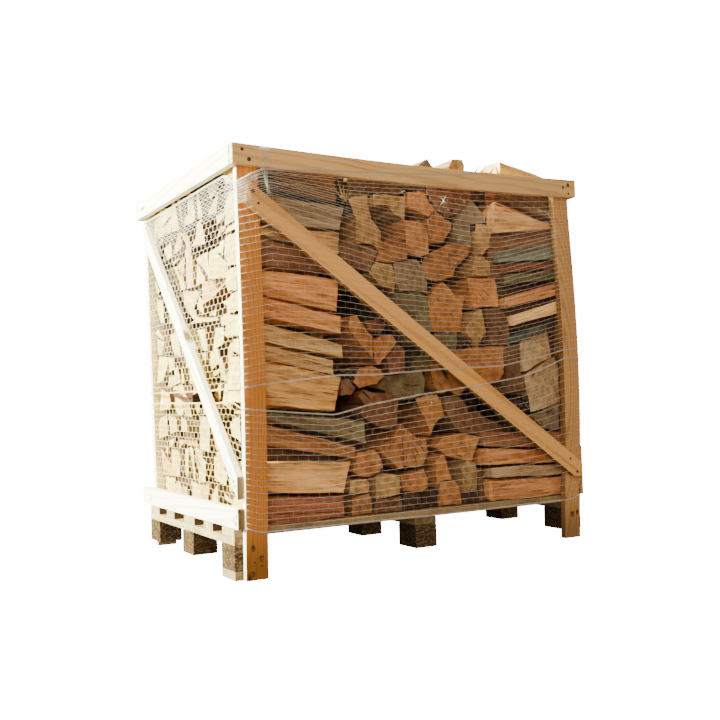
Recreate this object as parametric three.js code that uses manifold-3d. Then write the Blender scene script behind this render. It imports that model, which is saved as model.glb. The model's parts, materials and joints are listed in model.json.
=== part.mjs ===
// Pallet of firewood: a low timber pallet, a crate frame of boards nailed to it,
// three columns of split logs and a knitted net wrapped round the load.
// Millimetres, +Z up, long front towards -Y. Lengths are first given from the front-left
// post's outer foot corner: x along the front, y into the depth, z up from the ground.
import * as THREE from "three";
import Module from "manifold-3d";
import { mergeVertices } from "three/addons/utils/BufferGeometryUtils.js";

const wasm = await Module();
wasm.setup();

// Driving dimensions
const gap = 0.4;                 // left between pieces that touch
const crateWidth = 1200;         // over the outer edges of the front posts
const crateHeight = 1195;        // ground to the top of the rails
const board = 21;                // thickness of every crate board
const postWidth = 66;
const postFoot = 22;             // depth that a front post takes in front of the pallet
const railHeight = 58;
const railDepth = 861;           // length of the side rails
const palletOverhang = 24;       // pallet beyond the posts at each side
const palletDepth = 756;
const blockWidth = 77;
const blockDepth = 97;
const blockBottom = 26;
const stringerBottom = 96;
const deckBottom = 118;
const deckTop = 140;
const bowLeft = 15;              // how far the load pushes the front posts out
const bowRight = 25;
const bowFoot = 40;              // heights between which they are pushed out
const bowTop = 1090;
const backLean = 61;             // how far the back posts lean out at the top
const railSag = 9;
const columnLeft = 322;          // right ends of the left column's hidden logs
const columnRight = 868;         // left ends of the right column's logs
const loadFront = 25;
const loadBack = 776;
const frontRow = 360;            // how deep the middle column's front row reaches
const logLength = 330;
const logDepth = 98;             // how deep the logs along the front reach
const cordThickness = 1.5;

const pine = new THREE.MeshStandardMaterial({ color: 0xc4894a, roughness: 0.8, metalness: 0 });
const palePine = new THREE.MeshStandardMaterial({ color: 0xd2a468, roughness: 0.8, metalness: 0 });
const railPine = new THREE.MeshStandardMaterial({ color: 0xc9a375, roughness: 0.8, metalness: 0 });
const greyWood = new THREE.MeshStandardMaterial({ color: 0x8a7a60, roughness: 0.9, metalness: 0 });
const chipBlock = new THREE.MeshStandardMaterial({ color: 0x7d6a4c, roughness: 0.95, metalness: 0 });
const paleLog = new THREE.MeshStandardMaterial({ color: 0xc79a63, roughness: 0.85, metalness: 0 });
const orangeLog = new THREE.MeshStandardMaterial({ color: 0xb4713c, roughness: 0.85, metalness: 0 });
const brownLog = new THREE.MeshStandardMaterial({ color: 0x7f573a, roughness: 0.9, metalness: 0 });
const greyLog = new THREE.MeshStandardMaterial({ color: 0x7c7358, roughness: 0.9, metalness: 0 });
const netWhite = new THREE.MeshStandardMaterial({ color: 0xeee9dc, roughness: 0.6, metalness: 0 });

// The origin is on the ground, in the middle of the whole outline
const faceBraceLeft = 8;         // gap behind the front brace's back face at each end, which
const faceBraceRight = 17;       // lies on the bowed posts
const frontReach = faceBraceRight + board + 2 * gap + cordThickness;
const backReach = railDepth + board;
const crate = new THREE.Group();
crate.position.set(-crateWidth / 2, (frontReach - backReach) / 2, 0);

function addPiece(name, geometry, material) {
  const piece = new THREE.Mesh(geometry, material);
  piece.name = name;
  crate.add(piece);
}

// A box given by its two corners, cut along its length so that it can bend
function boxBetween(low, high, cuts = [1, 1, 1]) {
  const size = high.map((value, axis) => value - low[axis]);
  const geometry = new THREE.BoxGeometry(...size, ...cuts);
  geometry.translate(...low.map((value, axis) => value + size[axis] / 2));
  return geometry;
}

function bend(geometry, shift) {
  const position = geometry.attributes.position;
  const point = new THREE.Vector3();
  for (let i = 0; i < position.count; i += 1) {
    point.fromBufferAttribute(position, i);
    point.add(shift(point));
    position.setXYZ(i, point.x, point.y, point.z);
  }
  return geometry;
}

// Outward bow of the front posts: none at the foot and the top rail, most halfway up
function frontBow(x, z) {
  const along = THREE.MathUtils.clamp((z - bowFoot) / (bowTop - bowFoot), 0, 1);
  return THREE.MathUtils.lerp(bowLeft, bowRight, x / crateWidth) * Math.sin(Math.PI * along);
}

function leanAt(z) {
  return backLean * Math.max(0, (z - deckTop) / (crateHeight - deckTop));
}

// Pallet
const blockPlaces = {
  left: -palletOverhang,
  middle: (crateWidth - blockWidth) / 2,
  right: crateWidth + palletOverhang - blockWidth,
};
const palletFront = postFoot + gap;
const palletBack = postFoot + palletDepth;
const blockRows = {
  front: palletFront,
  middle: postFoot + (palletDepth - blockDepth) / 2,
  back: palletBack - blockDepth,
};
for (const [side, x] of Object.entries(blockPlaces)) {
  for (const [row, y] of Object.entries(blockRows)) {
    const low = [x, y, blockBottom];
    const high = [x + blockWidth, y + blockDepth, stringerBottom - gap];
    addPiece(`block_${row}_${side}`, boxBetween(low, high), chipBlock);
  }
  const low = [x, palletFront, stringerBottom];
  const high = [x + blockWidth, palletBack, deckBottom - gap];
  addPiece(`stringer_${side}`, boxBetween(low, high), greyWood);
}
addPiece("foot_pad", boxBetween([-palletOverhang, palletFront, 0],
  [-palletOverhang + blockWidth, palletFront + blockDepth, blockBottom - gap]), greyWood);

// Deck boards: front and back edge of each
const deckBoards = [[palletFront, 112], [187, 258], [341, 433], [529, 599], [683, palletBack]];
deckBoards.forEach(([front, back], index) => {
  const low = [-palletOverhang, front, deckBottom];
  const high = [crateWidth + palletOverhang, back, deckTop];
  addPiece(`deck_board_${index + 1}`, boxBetween(low, high), greyWood);
});

// Posts: bent boards in front of the pallet, leaning ones behind it
const railOverPosts = 5;
const postTop = crateHeight - railOverPosts;
const postSides = { left: 0, right: crateWidth - postWidth };
for (const [side, x] of Object.entries(postSides)) {
  const front = boxBetween([x, 0, 0], [x + postWidth, postFoot, postTop], [1, 1, 12]);
  bend(front, (p) => new THREE.Vector3(0, -frontBow(x, p.z), 0));
  addPiece(`post_front_${side}`, front, pine);
  const backY = palletBack + gap;
  const back = boxBetween([x, backY, 0], [x + postWidth, backY + board, postTop], [1, 1, 9]);
  bend(back, (p) => new THREE.Vector3(0, leanAt(p.z), 0));
  addPiece(`post_back_${side}`, back, pine);
}

// Top rails: the front and back ones cover the ends of the side ones
const railBottom = crateHeight - railHeight;
const shortLeft = 2;             // how far the front rail stops short of the side rails' faces
const shortRight = 3;
const railLeft = -board + shortLeft;
const railRight = crateWidth + board - shortRight;
function sag(point) {
  const along = (point.x - railLeft) / (railRight - railLeft);
  return new THREE.Vector3(0, 0, -railSag * Math.sin(Math.PI * along));
}
const railCuts = [10, 1, 1];
addPiece("rail_front", bend(boxBetween([railLeft, -board, railBottom],
  [railRight, -gap, crateHeight], railCuts), sag), railPine);
addPiece("rail_back", bend(boxBetween([railLeft, railDepth + gap, railBottom],
  [railRight, railDepth + board, crateHeight], railCuts), sag), railPine);
addPiece("rail_left", boxBetween([-board, gap, railBottom], [-gap, railDepth, crateHeight]), railPine);
addPiece("rail_right", boxBetween([crateWidth + gap, gap, railBottom],
  [crateWidth + board, railDepth, crateHeight]), railPine);

// Lower side boards, outside the net; the right one is wider
const netOutside = gap + cordThickness + gap;
const boardBottom = deckTop + 1;
const boardLength = 870;
const boardHeightLeft = 57;
const boardHeightRight = 95;
addPiece("side_board_left", boxBetween([-board, 0, boardBottom],
  [-netOutside, boardLength, boardBottom + boardHeightLeft]), palePine);
addPiece("side_board_right", boxBetween([crateWidth + netOutside, 0, boardBottom],
  [crateWidth + board, boardLength, boardBottom + boardHeightRight]), palePine);

function extrudeOutline(outline, thickness) {
  const shape = new THREE.Shape(outline.map(([along, up]) => new THREE.Vector2(along, up)));
  return new THREE.ExtrudeGeometry(shape, { depth: thickness, bevelEnabled: false });
}

// Braces: one across each face, as outlines with upright sawn ends
const longBrace = [[1150, 208], [1186, 205], [1187, 250], [26, 1092], [14, 1030]];
const shortBrace = [[0, 222], [802, 1046], [802, 1098], [786, 1098], [0, 284]];
function onBowedPosts(point) {
  const out = THREE.MathUtils.lerp(faceBraceLeft, faceBraceRight, point.x / crateWidth);
  return new THREE.Vector3(0, -out, 0);
}
addPiece("brace_front", bend(extrudeOutline(longBrace, board).rotateX(Math.PI / 2), onBowedPosts),
  palePine);
function onLeaningPosts(point) {
  return new THREE.Vector3(0, palletBack + board + 2 * gap + leanAt(point.z), 0);
}
const backBraceDrop = 20;
const backBrace = longBrace.map(([x, z]) => [crateWidth - x, z - backBraceDrop]).reverse();
addPiece("brace_back", bend(extrudeOutline(backBrace, board).rotateX(Math.PI / 2)
  .translate(0, board, 0), onLeaningPosts), palePine);
const braceTurn = new THREE.Matrix4().makeBasis(
  new THREE.Vector3(0, 1, 0), new THREE.Vector3(0, 0, 1), new THREE.Vector3(1, 0, 0));
const sideThickness = board - netOutside;
addPiece("brace_left", extrudeOutline(shortBrace, sideThickness).applyMatrix4(braceTurn)
  .translate(-board, 0, 0), palePine);
const raised = 16;                // the wider lower board on the right lifts the brace
addPiece("brace_right", extrudeOutline(shortBrace, sideThickness).applyMatrix4(braceTurn)
  .translate(crateWidth + netOutside, 0, raised), palePine);

// Split logs lying along x at the front: heights of the lower and the upper face at the
// left and the right end, where the log starts and ends, and its section
const sections = {
  slab: [[0, 0.04], [1, 0], [0.97, 0.62], [0.6, 0.98], [0, 1]],
  round: [[0, 0], [0.72, 0.02], [1, 0.42], [0.86, 0.9], [0.45, 1], [0, 0.95]],
  wedge: [[0, 0], [0.85, 0.22], [1, 0.7], [0.5, 1], [0, 0.94]],
  thick: [[0, 0], [1, 0], [0.97, 0.93], [0.5, 1], [0, 0.95]],
};
function sideLog({ from, to, low, high, front = 0, depth = logDepth - front, cut = 0, section = "slab" }) {
  const corners = sections[section];
  const points = [];
  const ends = [[from, low[0], high[0]], [to, low[1], high[1]]];
  ends.forEach(([x, bottom, top], end) => {
    for (const [back, up] of corners) {
      const z = bottom + up * (top - bottom);
      const slant = end === 1 ? cut * (up - 1) : 0;
      points.push(x + slant, loadFront + front + back * depth, z);
    }
  });
  const count = corners.length;
  const index = [];
  for (let i = 0; i < count; i += 1) {
    const next = (i + 1) % count;
    index.push(i, next, count + next, i, count + next, count + i);
    if (i > 1) {
      index.push(0, i, i - 1, count, count + i - 1, count + i);
    }
  }
  const geometry = new THREE.BufferGeometry();
  geometry.setAttribute("position", new THREE.Float32BufferAttribute(points, 3));
  geometry.setIndex(index);
  return geometry;
}

const leftLogs = [
  [{ from: 5, to: 323, low: [140.5, 140.5], high: [231, 207], section: "round" }, orangeLog],
  [{ from: 3, to: 354, low: [232, 205.5], high: [326, 304], cut: 28, front: 2 }, paleLog],
  [{ from: 6, to: 370, low: [372, 307], high: [452, 345], section: "wedge", front: 6 }, orangeLog],
  [{ from: 20, to: 408, low: [453, 346], high: [464, 421], depth: 80, front: 9 }, greyLog],
  [{ from: 4, to: 325, low: [479, 443], high: [618, 549], cut: 20 }, paleLog],
  [{ from: 9, to: 303, low: [619, 554], high: [665, 602], section: "wedge", front: 5 }, orangeLog],
  [{ from: 5, to: 338, low: [666, 603], high: [735, 645], section: "round", front: 3 }, paleLog],
  [{ from: 8, to: 331, low: [736, 672], high: [795, 730], front: 2 }, orangeLog],
  [{ from: 4, to: 331, low: [796, 738], high: [866, 845], cut: 15, section: "round" }, orangeLog],
  [{ from: 7, to: 333, low: [867, 853], high: [985, 977], front: 4 }, brownLog],
  [{ from: 5, to: 352, low: [986, 978], high: [1082, 1052], cut: 16, front: 3 }, paleLog],
  [{ from: 8, to: 330, low: [1101, 1062], high: [1168, 1160], section: "round", front: 6 }, brownLog],
];
leftLogs.forEach(([log, material], index) => {
  addPiece(`log_left_${index + 1}`, sideLog(log), material);
});

const rightLogs = [
  [{ from: 858, to: 1192, low: [140.5, 140.5], high: [212, 204], section: "round", front: 2 }, orangeLog],
  [{ from: 874, to: 1195, low: [213, 205], high: [250, 244], front: 8 }, greyLog],
  [{ from: 857, to: 1190, low: [251, 246], high: [290, 280], section: "wedge", front: 3 }, orangeLog],
  [{ from: 836, to: 1188, low: [292, 282], high: [345, 350], front: 6 }, brownLog],
  [{ from: 979, to: 1192, low: [714, 772], high: [740, 800], front: 4 }, paleLog],
  [{ from: 937, to: 1190, low: [774, 838], high: [801, 862], section: "wedge", front: 5 }, orangeLog],
  [{ from: 927, to: 1194, low: [910, 933], high: [952, 1000], front: 12 }, greyLog],
  [{ from: 906, to: 1150, low: [1001, 1036], high: [1112, 1048], section: "wedge" }, paleLog],
  [{ from: 950, to: 1190, low: [1118, 1052], high: [1163, 1160], front: 5 }, brownLog],
];
rightLogs.forEach(([log, material], index) => {
  addPiece(`log_right_${index + 1}`, sideLog(log), material);
});

// One long split log lies over the load behind the rail, its thick end to the left
const topLogBack = 165;
const topLogFront = 20;
addPiece("log_top", sideLog({
  from: 950,
  to: 1165,
  low: [1164, 1161.5],
  high: [1256, 1213],
  section: "thick",
  front: topLogFront,
  depth: topLogBack - loadFront - topLogFront,
}), paleLog);

// Solids are joined as closed meshes whose vertices are shared
function toSolid(geometry) {
  const bare = geometry.clone();
  bare.deleteAttribute("normal");
  bare.deleteAttribute("uv");
  const merged = mergeVertices(bare, 1e-4);
  return new wasm.Manifold(new wasm.Mesh({
    numProp: 3,
    vertProperties: new Float32Array(merged.attributes.position.array),
    triVerts: new Uint32Array(merged.index.array),
  }));
}
function toGeometry(solid) {
  const mesh = solid.getMesh();
  const geometry = new THREE.BufferGeometry();
  geometry.setAttribute("position", new THREE.BufferAttribute(mesh.vertProperties, 3));
  geometry.setIndex(new THREE.BufferAttribute(mesh.triVerts, 1));
  return geometry;
}

// A log with a given section, running from one end to the other along x or along y
function straightLog(outline, start, end, axis) {
  const geometry = extrudeOutline(outline, end - start);
  const turn = axis === "y"
    ? new THREE.Matrix4().makeBasis(
      new THREE.Vector3(1, 0, 0), new THREE.Vector3(0, 0, 1), new THREE.Vector3(0, -1, 0))
    : braceTurn;
  geometry.applyMatrix4(turn);
  geometry.translate(axis === "y" ? 0 : start, axis === "y" ? end : 0, 0);
  return geometry;
}
function joinLogs(name, logs, material) {
  const pile = logs.map(toSolid).reduce((sum, log) => sum.add(log));
  addPiece(name, toGeometry(pile), material);
}

// Ends of the middle column's front logs, bottom rows first
const frontEnds = [
  [[347, 141], [425, 141], [424, 182], [411, 207], [376, 202], [349, 194]],
  [[422, 141], [530, 141], [529, 187], [482, 184], [437, 186]],
  [[526, 141], [600, 141], [594, 193], [533, 201]],
  [[596, 141], [668, 141], [672, 200], [616, 206]],
  [[667, 141], [746, 141], [745, 200], [726, 222], [671, 216]],
  [[745, 141], [826, 141], [820, 180], [750, 176]],
  [[824, 141], [850, 141], [850, 252], [824, 250]],
  [[344, 206], [372, 201], [409, 206], [416, 236], [401, 250], [346, 248]],
  [[434, 182], [484, 181], [530, 192], [531, 243], [509, 255], [474, 262], [436, 250]],
  [[529, 199], [594, 190], [618, 203], [626, 233], [611, 266], [585, 261], [530, 243]],
  [[668, 214], [727, 219], [716, 242], [705, 281], [688, 307], [657, 290], [662, 246]],
  [[757, 176], [812, 177], [821, 245], [809, 275], [774, 281], [748, 256]],
  [[368, 265], [391, 250], [422, 248], [449, 261], [469, 277], [465, 296], [456, 318], [439, 334],
    [380, 327]],
  [[544, 270], [597, 262], [628, 266], [650, 312], [644, 330], [641, 360], [600, 361], [572, 378],
    [543, 398]],
  [[533, 268], [540, 352], [556, 384], [545, 404], [524, 392], [498, 360], [463, 346], [446, 334],
    [458, 318], [484, 296], [514, 266]],
  [[684, 311], [707, 292], [728, 286], [799, 272], [816, 321], [829, 350], [752, 368], [692, 358],
    [660, 326]],
  [[696, 430], [720, 392], [752, 364], [838, 355], [926, 358], [942, 380], [905, 396], [863, 410],
    [832, 434], [792, 431], [779, 463], [752, 483], [686, 480]],
  [[614, 440], [632, 407], [642, 358], [665, 401], [701, 421], [691, 465], [680, 491], [643, 492],
    [597, 481], [603, 463]],
  [[391, 442], [408, 423], [452, 397], [494, 386], [527, 392], [530, 476], [522, 490], [476, 503],
    [435, 503], [400, 514], [383, 493], [406, 466]],
  [[328, 494], [366, 492], [385, 514], [362, 547], [329, 542]],
  [[530, 470], [600, 478], [630, 494], [634, 536], [623, 564], [536, 559], [490, 550], [478, 532],
    [432, 522], [490, 506]],
  [[361, 533], [387, 513], [416, 519], [456, 526], [487, 552], [465, 572], [438, 585], [385, 577]],
  [[652, 550], [658, 511], [685, 488], [726, 504], [719, 528], [698, 564], [684, 594], [650, 598]],
  [[720, 560], [722, 500], [760, 482], [840, 520], [896, 522], [922, 526], [939, 550], [934, 641],
    [829, 641], [742, 626]],
  [[946, 545], [955, 487], [1044, 487], [1036, 545], [1018, 552], [1020, 652], [936, 645]],
  [[1042, 416], [1097, 428], [1165, 450], [1170, 566], [1156, 606], [1109, 583], [1027, 547],
    [1036, 490]],
  [[1045, 405], [1060, 392], [1102, 359], [1172, 354], [1172, 455], [1097, 432]],
  [[1021, 553], [1036, 554], [1110, 585], [1158, 602], [1154, 712], [1064, 680], [1019, 660]],
  [[938, 641], [1022, 655], [1120, 697], [1120, 718], [1024, 689], [938, 662]],
  [[443, 592], [459, 580], [487, 603], [514, 629], [537, 655], [514, 680], [472, 676], [440, 660]],
  [[500, 550], [530, 556], [552, 562], [558, 628], [535, 651], [505, 623], [486, 604]],
  [[600, 560], [652, 560], [670, 600], [716, 612], [760, 622], [761, 689], [673, 685], [625, 640]],
  [[403, 636], [440, 602], [447, 668], [425, 693], [390, 735], [366, 731], [354, 697], [368, 678]],
  [[430, 686], [472, 674], [497, 705], [471, 724], [422, 722]],
  [[654, 683], [671, 684], [796, 686], [794, 704], [806, 806], [772, 802], [739, 829], [711, 846],
    [679, 825], [654, 790]],
  [[540, 650], [632, 634], [657, 690], [656, 798], [618, 815], [530, 807], [544, 740]],
  [[792, 680], [839, 636], [875, 683], [851, 760], [830, 757], [792, 697]],
  [[868, 700], [880, 640], [960, 641], [972, 676], [970, 724], [956, 746], [926, 770], [858, 762]],
  [[820, 795], [832, 760], [926, 766], [931, 799], [924, 868], [815, 864]],
  [[434, 860], [487, 816], [522, 812], [530, 800], [540, 842], [516, 893], [458, 897]],
  [[530, 838], [545, 806], [618, 812], [652, 800], [660, 860], [645, 891], [622, 915], [567, 910],
    [526, 898]],
  [[636, 878], [657, 850], [698, 843], [762, 862], [770, 889], [815, 930], [828, 960], [789, 977],
    [738, 968], [655, 925]],
  [[812, 884], [820, 862], [898, 866], [899, 914], [862, 932], [826, 930]],
  [[340, 906], [379, 878], [436, 860], [463, 903], [472, 926], [451, 944], [395, 950], [341, 950]],
  [[470, 924], [458, 896], [520, 892], [574, 908], [577, 938], [550, 952], [497, 958], [452, 953]],
  [[396, 946], [466, 948], [498, 956], [496, 993], [466, 1028], [455, 1072], [453, 1108],
    [408, 1101], [376, 1085], [401, 1018]],
  [[574, 966], [576, 930], [622, 912], [655, 926], [656, 998], [645, 1017], [620, 1034], [571, 1034]],
  [[656, 1010], [668, 960], [722, 966], [756, 1011], [757, 1033], [724, 1049], [710, 1070],
    [679, 1068], [655, 1042]],
  [[763, 1008], [772, 969], [828, 956], [832, 1012], [838, 1035], [902, 1046], [878, 1097],
    [845, 1124], [773, 1062]],
  [[829, 990], [862, 930], [892, 960], [900, 1020], [884, 1036], [836, 1036]],
  [[458, 1102], [456, 1066], [502, 1072], [544, 1042], [581, 1030], [587, 1108], [500, 1106]],
  [[586, 1120], [580, 1070], [656, 1040], [684, 1066], [661, 1100], [653, 1129]],
  [[372, 1148], [376, 1086], [457, 1104], [495, 1094], [545, 1104], [588, 1118], [562, 1136],
    [480, 1152]],
  [[650, 1122], [684, 1064], [727, 1044], [772, 1058], [845, 1122], [842, 1168], [650, 1168]],
  [[562, 1130], [653, 1119], [655, 1166], [476, 1166], [476, 1146]],
  [[622, 1166], [706, 1166], [698, 1206], [669, 1234], [632, 1211]],
  [[715, 1166], [802, 1166], [805, 1222], [799, 1242], [757, 1240], [734, 1207]],
];
const frontStarts = [30, 36, 32, 44, 34, 40, 48];
joinLogs("firewood_middle_front", frontEnds.map((outline, index) => {
  const ending = frontRow - (index % 4) * 5;
  return straightLog(outline, frontStarts[index % frontStarts.length], ending, "y");
}), orangeLog);

// Stacked logs that no view singles out: rows of split sections between two ends, the
// last row being a few loose logs on top. The same numbers come out every time.
const spreadModulus = 2147483647;
function makeSpread(seed) {
  let state = seed;
  return (low, high) => {
    state = (state * 16807) % spreadModulus;
    return low + (high - low) * (state / spreadModulus);
  };
}
const stackRows = 10;
const stackTop = 1150;
const rowHeight = (stackTop - deckTop) / stackRows;
const rowWave = 9;                // how far a row rises and falls along itself
const wavesPerLength = 0.021;
const wavesPerRow = 2.1;
const sideStep = 0.3;             // odd rows are set sideways by this share of a log
const cornerCutLeast = 12;        // how much of an edge a corner cut takes
const cornerCutMost = 30;
const cornerCutShare = 0.6;
const topRowShare = 0.6;          // logs that the last row keeps
const topRowHeight = 0.4;
const staggerMost = 12;           // how far a log's end stands back
const joined = 1;                 // overlap that makes stacked logs one body
function rowLevel(row, along) {
  const wave = row === 0 ? 0 : rowWave * Math.sin(along * wavesPerLength + row * wavesPerRow);
  return deckTop + gap + row * rowHeight + wave;
}
function stackOfLogs({ seed, columns, start, endAt, place }) {
  const spread = makeSpread(seed);
  const logs = [];
  for (let row = 0; row <= stackRows; row += 1) {
    const reach = endAt(row) - start;
    const shift = row % 2 === 0 ? 0 : sideStep;
    const edges = [[start, start]];
    for (let column = 1; column < columns; column += 1) {
      const edge = start + (reach * (column - shift)) / columns;
      edges.push([edge + spread(-9, 9), edge + spread(-14, 14)]);
    }
    edges.push([start + reach, start + reach]);
    for (let column = 0; column < columns; column += 1) {
      const [low, high] = [edges[column], edges[column + 1]];
      const height = row === stackRows ? topRowHeight : 1;
      const topAt = (along) => joined
        + THREE.MathUtils.lerp(rowLevel(row, along), rowLevel(row + 1, along), height);
      const outline = [
        [low[0], rowLevel(row, low[0])],
        [high[0] + joined / 2, rowLevel(row, high[0])],
        [high[1] + joined / 2, topAt(high[1])],
        [low[1], topAt(low[1])],
      ];
      const corner = Math.floor(spread(0, outline.length));
      const inset = spread(cornerCutLeast, cornerCutMost);
      const kept = row < stackRows || (column > 0 && spread(0, 1) < topRowShare);
      const cutOff = spread(0, 1) < cornerCutShare;
      if (kept) {
        const section = cutOff ? cutCorner(outline, corner, inset) : outline;
        logs.push(...place(section, row, spread(0, staggerMost)));
      }
    }
  }
  return logs;
}
function cutCorner(outline, corner, inset) {
  const [x, z] = outline[corner];
  const before = outline[(corner + 3) % 4];
  const after = outline[(corner + 1) % 4];
  const towards = ([toX, toZ]) => {
    const step = inset / Math.hypot(toX - x, toZ - z);
    return [x + (toX - x) * step, z + (toZ - z) * step];
  };
  const cutPoints = [towards(before), towards(after)];
  return outline.flatMap((point, index) => (index === corner ? cutPoints : [point]));
}

const behindFrontLogs = loadFront + logDepth + 1.5;
const rowBack = (row) => loadBack - 2 + leanAt(deckTop + row * rowHeight);
joinLogs("firewood_left", stackOfLogs({
  seed: 41,
  columns: 7,
  start: behindFrontLogs,
  endAt: rowBack,
  place: (outline, row, stagger) => [straightLog(outline, 3 + stagger, columnLeft, "x")],
}), paleLog);

joinLogs("firewood_middle_rear", stackOfLogs({
  seed: 77,
  columns: 6,
  start: columnLeft + 4,
  endAt: () => columnRight - 4,
  place: (outline, row, stagger) => {
    const back = rowBack(row) - stagger;
    return [straightLog(outline, loadBack - logLength, back, "y")];
  },
}), orangeLog);

// Near the front, the right column makes room for the logs that are seen from their ends:
// it has none between two heights, and starts further right above them
const endOnLow = 345;
const endOnHigh = 716;
const endOnReach = 982;
const rightLogsBehind = stackOfLogs({
  seed: 23,
  columns: 7,
  start: behindFrontLogs,
  endAt: rowBack,
  place: (outline, row, stagger) => {
    const heights = outline.map((point) => point[1]);
    const nearFront = outline.some((point) => point[0] < frontRow + 2);
    const low = Math.min(...heights);
    const high = Math.max(...heights);
    const underTopLog = row === stackRows && outline.some((point) => point[0] < topLogBack + 1);
    if (underTopLog || (nearFront && high > endOnLow && low < endOnHigh)) {
      return [];
    }
    const left = nearFront && low >= endOnHigh ? endOnReach : columnRight + 2;
    return [straightLog(outline, left, crateWidth - 3 - stagger, "x")];
  },
});
const intoPile = 93;
rightLogsBehind.push(
  sideLog({ from: 960, to: 1190, low: [850, 866], high: [872, 896], front: 8, depth: intoPile }),
  sideLog({ from: 943, to: 1188, low: [877, 898], high: [907, 930], front: 10, depth: intoPile }),
);
joinLogs("firewood_right", rightLogsBehind, paleLog);

// Net: a thin closed band round posts, braces and load, inside the side boards
const netFront = faceBraceLeft + board + 2 * gap;
const netSlope = (faceBraceRight - faceBraceLeft) / crateWidth;
const netBack = palletBack + 2 * board + 4 * gap;
function netLoop(outward, heights) {
  const [left, right] = [-gap - outward, crateWidth + gap + outward];
  const front = (x) => -(netFront + netSlope * x) - outward;
  const back = (z) => netBack + leanAt(z) + outward;
  const [cornerZ, postZ, midZ, rightZ] = heights;
  return [
    [left, back(cornerZ), cornerZ],
    [left, -bowLeft - 1, cornerZ],
    [9, front(9), cornerZ],
    [72, front(72), postZ],
    [600, front(600), midZ],
    [1191, front(1191), rightZ],
    [right, -bowRight, cornerZ],
    [right, back(cornerZ), cornerZ],
  ];
}
function netBand(name, lowHeights, highHeights) {
  const loops = [
    netLoop(cordThickness, lowHeights), netLoop(cordThickness, highHeights),
    netLoop(0, highHeights), netLoop(0, lowHeights),
  ];
  const count = loops[0].length;
  const index = [];
  loops.forEach((loop, ring) => {
    const nextRing = (ring + 1) % loops.length;
    for (let i = 0; i < count; i += 1) {
      const next = (i + 1) % count;
      const [a, b] = [ring * count + i, ring * count + next];
      const [c, d] = [nextRing * count + next, nextRing * count + i];
      index.push(a, b, c, a, c, d);
    }
  });
  const geometry = new THREE.BufferGeometry();
  geometry.setAttribute("position", new THREE.Float32BufferAttribute(loops.flat(2), 3));
  geometry.setIndex(index);
  addPiece(name, geometry, netWhite);
}
netBand("net_lower", [deckTop + 2, 126, 126, 126], [490, 462, 492, 560]);
netBand("net_upper", [522, 531, 563, 570], [1091, 1129, 1166, 1186]);

export default crate;
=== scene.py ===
import json
import math

import bmesh
import bpy
from mathutils import Matrix, Vector, noise


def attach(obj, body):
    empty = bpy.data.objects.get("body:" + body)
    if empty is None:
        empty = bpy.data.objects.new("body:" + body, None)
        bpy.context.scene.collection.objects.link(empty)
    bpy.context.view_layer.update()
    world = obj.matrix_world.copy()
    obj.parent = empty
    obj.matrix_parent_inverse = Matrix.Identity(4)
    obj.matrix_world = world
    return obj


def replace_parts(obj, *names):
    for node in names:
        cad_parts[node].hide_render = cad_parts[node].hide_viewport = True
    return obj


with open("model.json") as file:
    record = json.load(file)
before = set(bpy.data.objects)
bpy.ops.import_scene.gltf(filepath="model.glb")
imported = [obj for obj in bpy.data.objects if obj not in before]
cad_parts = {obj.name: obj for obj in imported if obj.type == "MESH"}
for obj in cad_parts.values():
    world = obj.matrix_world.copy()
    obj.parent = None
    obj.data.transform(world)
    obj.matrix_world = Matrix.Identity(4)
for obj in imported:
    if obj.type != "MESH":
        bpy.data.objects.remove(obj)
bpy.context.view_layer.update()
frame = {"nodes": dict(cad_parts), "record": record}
SLOTS = {part["node"]: part["material_slot"] for part in frame["record"]["subparts"]}

# Sizes in millimetres, from the front-left post's outer foot corner: x along the front,
# y into the depth, z up. The frame's origin is on the ground in the middle of the outline.
GAP = 0.4
WIDTH = 1200
HEIGHT = 1195
BOARD = 21
FRONT_REACH = 40.3
BACK_REACH = 882
DECK_TOP = 140
PALLET_BACK = 778
BOW_LEFT = 15
BOW_RIGHT = 25
BOW_FOOT = 40
BOW_TOP = 1090
BACK_LEAN = 61
RAIL_SAG = 9
POST_INNER = 66
BRACE_OUT_LEFT = 8
BRACE_OUT_RIGHT = 17
COLUMN_LEFT = 322
COLUMN_RIGHT = 868
LOAD_FRONT = 25
LOAD_BACK = 776
FRONT_ROW = 360
LOG_LENGTH = 330
LOG_DEPTH = 98
MIDDLE = Vector((WIDTH / 2, (BACK_REACH - FRONT_REACH) / 2, 0))


def placed(x, y, z):
    """A point of the crate in the frame's metres."""
    return (Vector((x, y, z)) - MIDDLE) / 1000


def mix(a, b, share):
    return a + (b - a) * share


def limited(value, low=0.0, high=1.0):
    return max(low, min(high, value))


def eased(value):
    value = limited(value)
    return value * value * (3 - 2 * value)


def along_line(stops, x):
    """The height of a broken line, given by its corners, at a place."""
    for (x0, z0), (x1, z1) in zip(stops, stops[1:]):
        if x <= x1:
            return mix(z0, z1, limited((x - x0) / (x1 - x0)))
    return stops[-1][1]


def bow_at(x, z):
    along = limited((z - BOW_FOOT) / (BOW_TOP - BOW_FOOT))
    return mix(BOW_LEFT, BOW_RIGHT, x / WIDTH) * math.sin(math.pi * along)


def lean_at(z):
    return BACK_LEAN * max(0, (z - DECK_TOP) / (HEIGHT - DECK_TOP))


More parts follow.
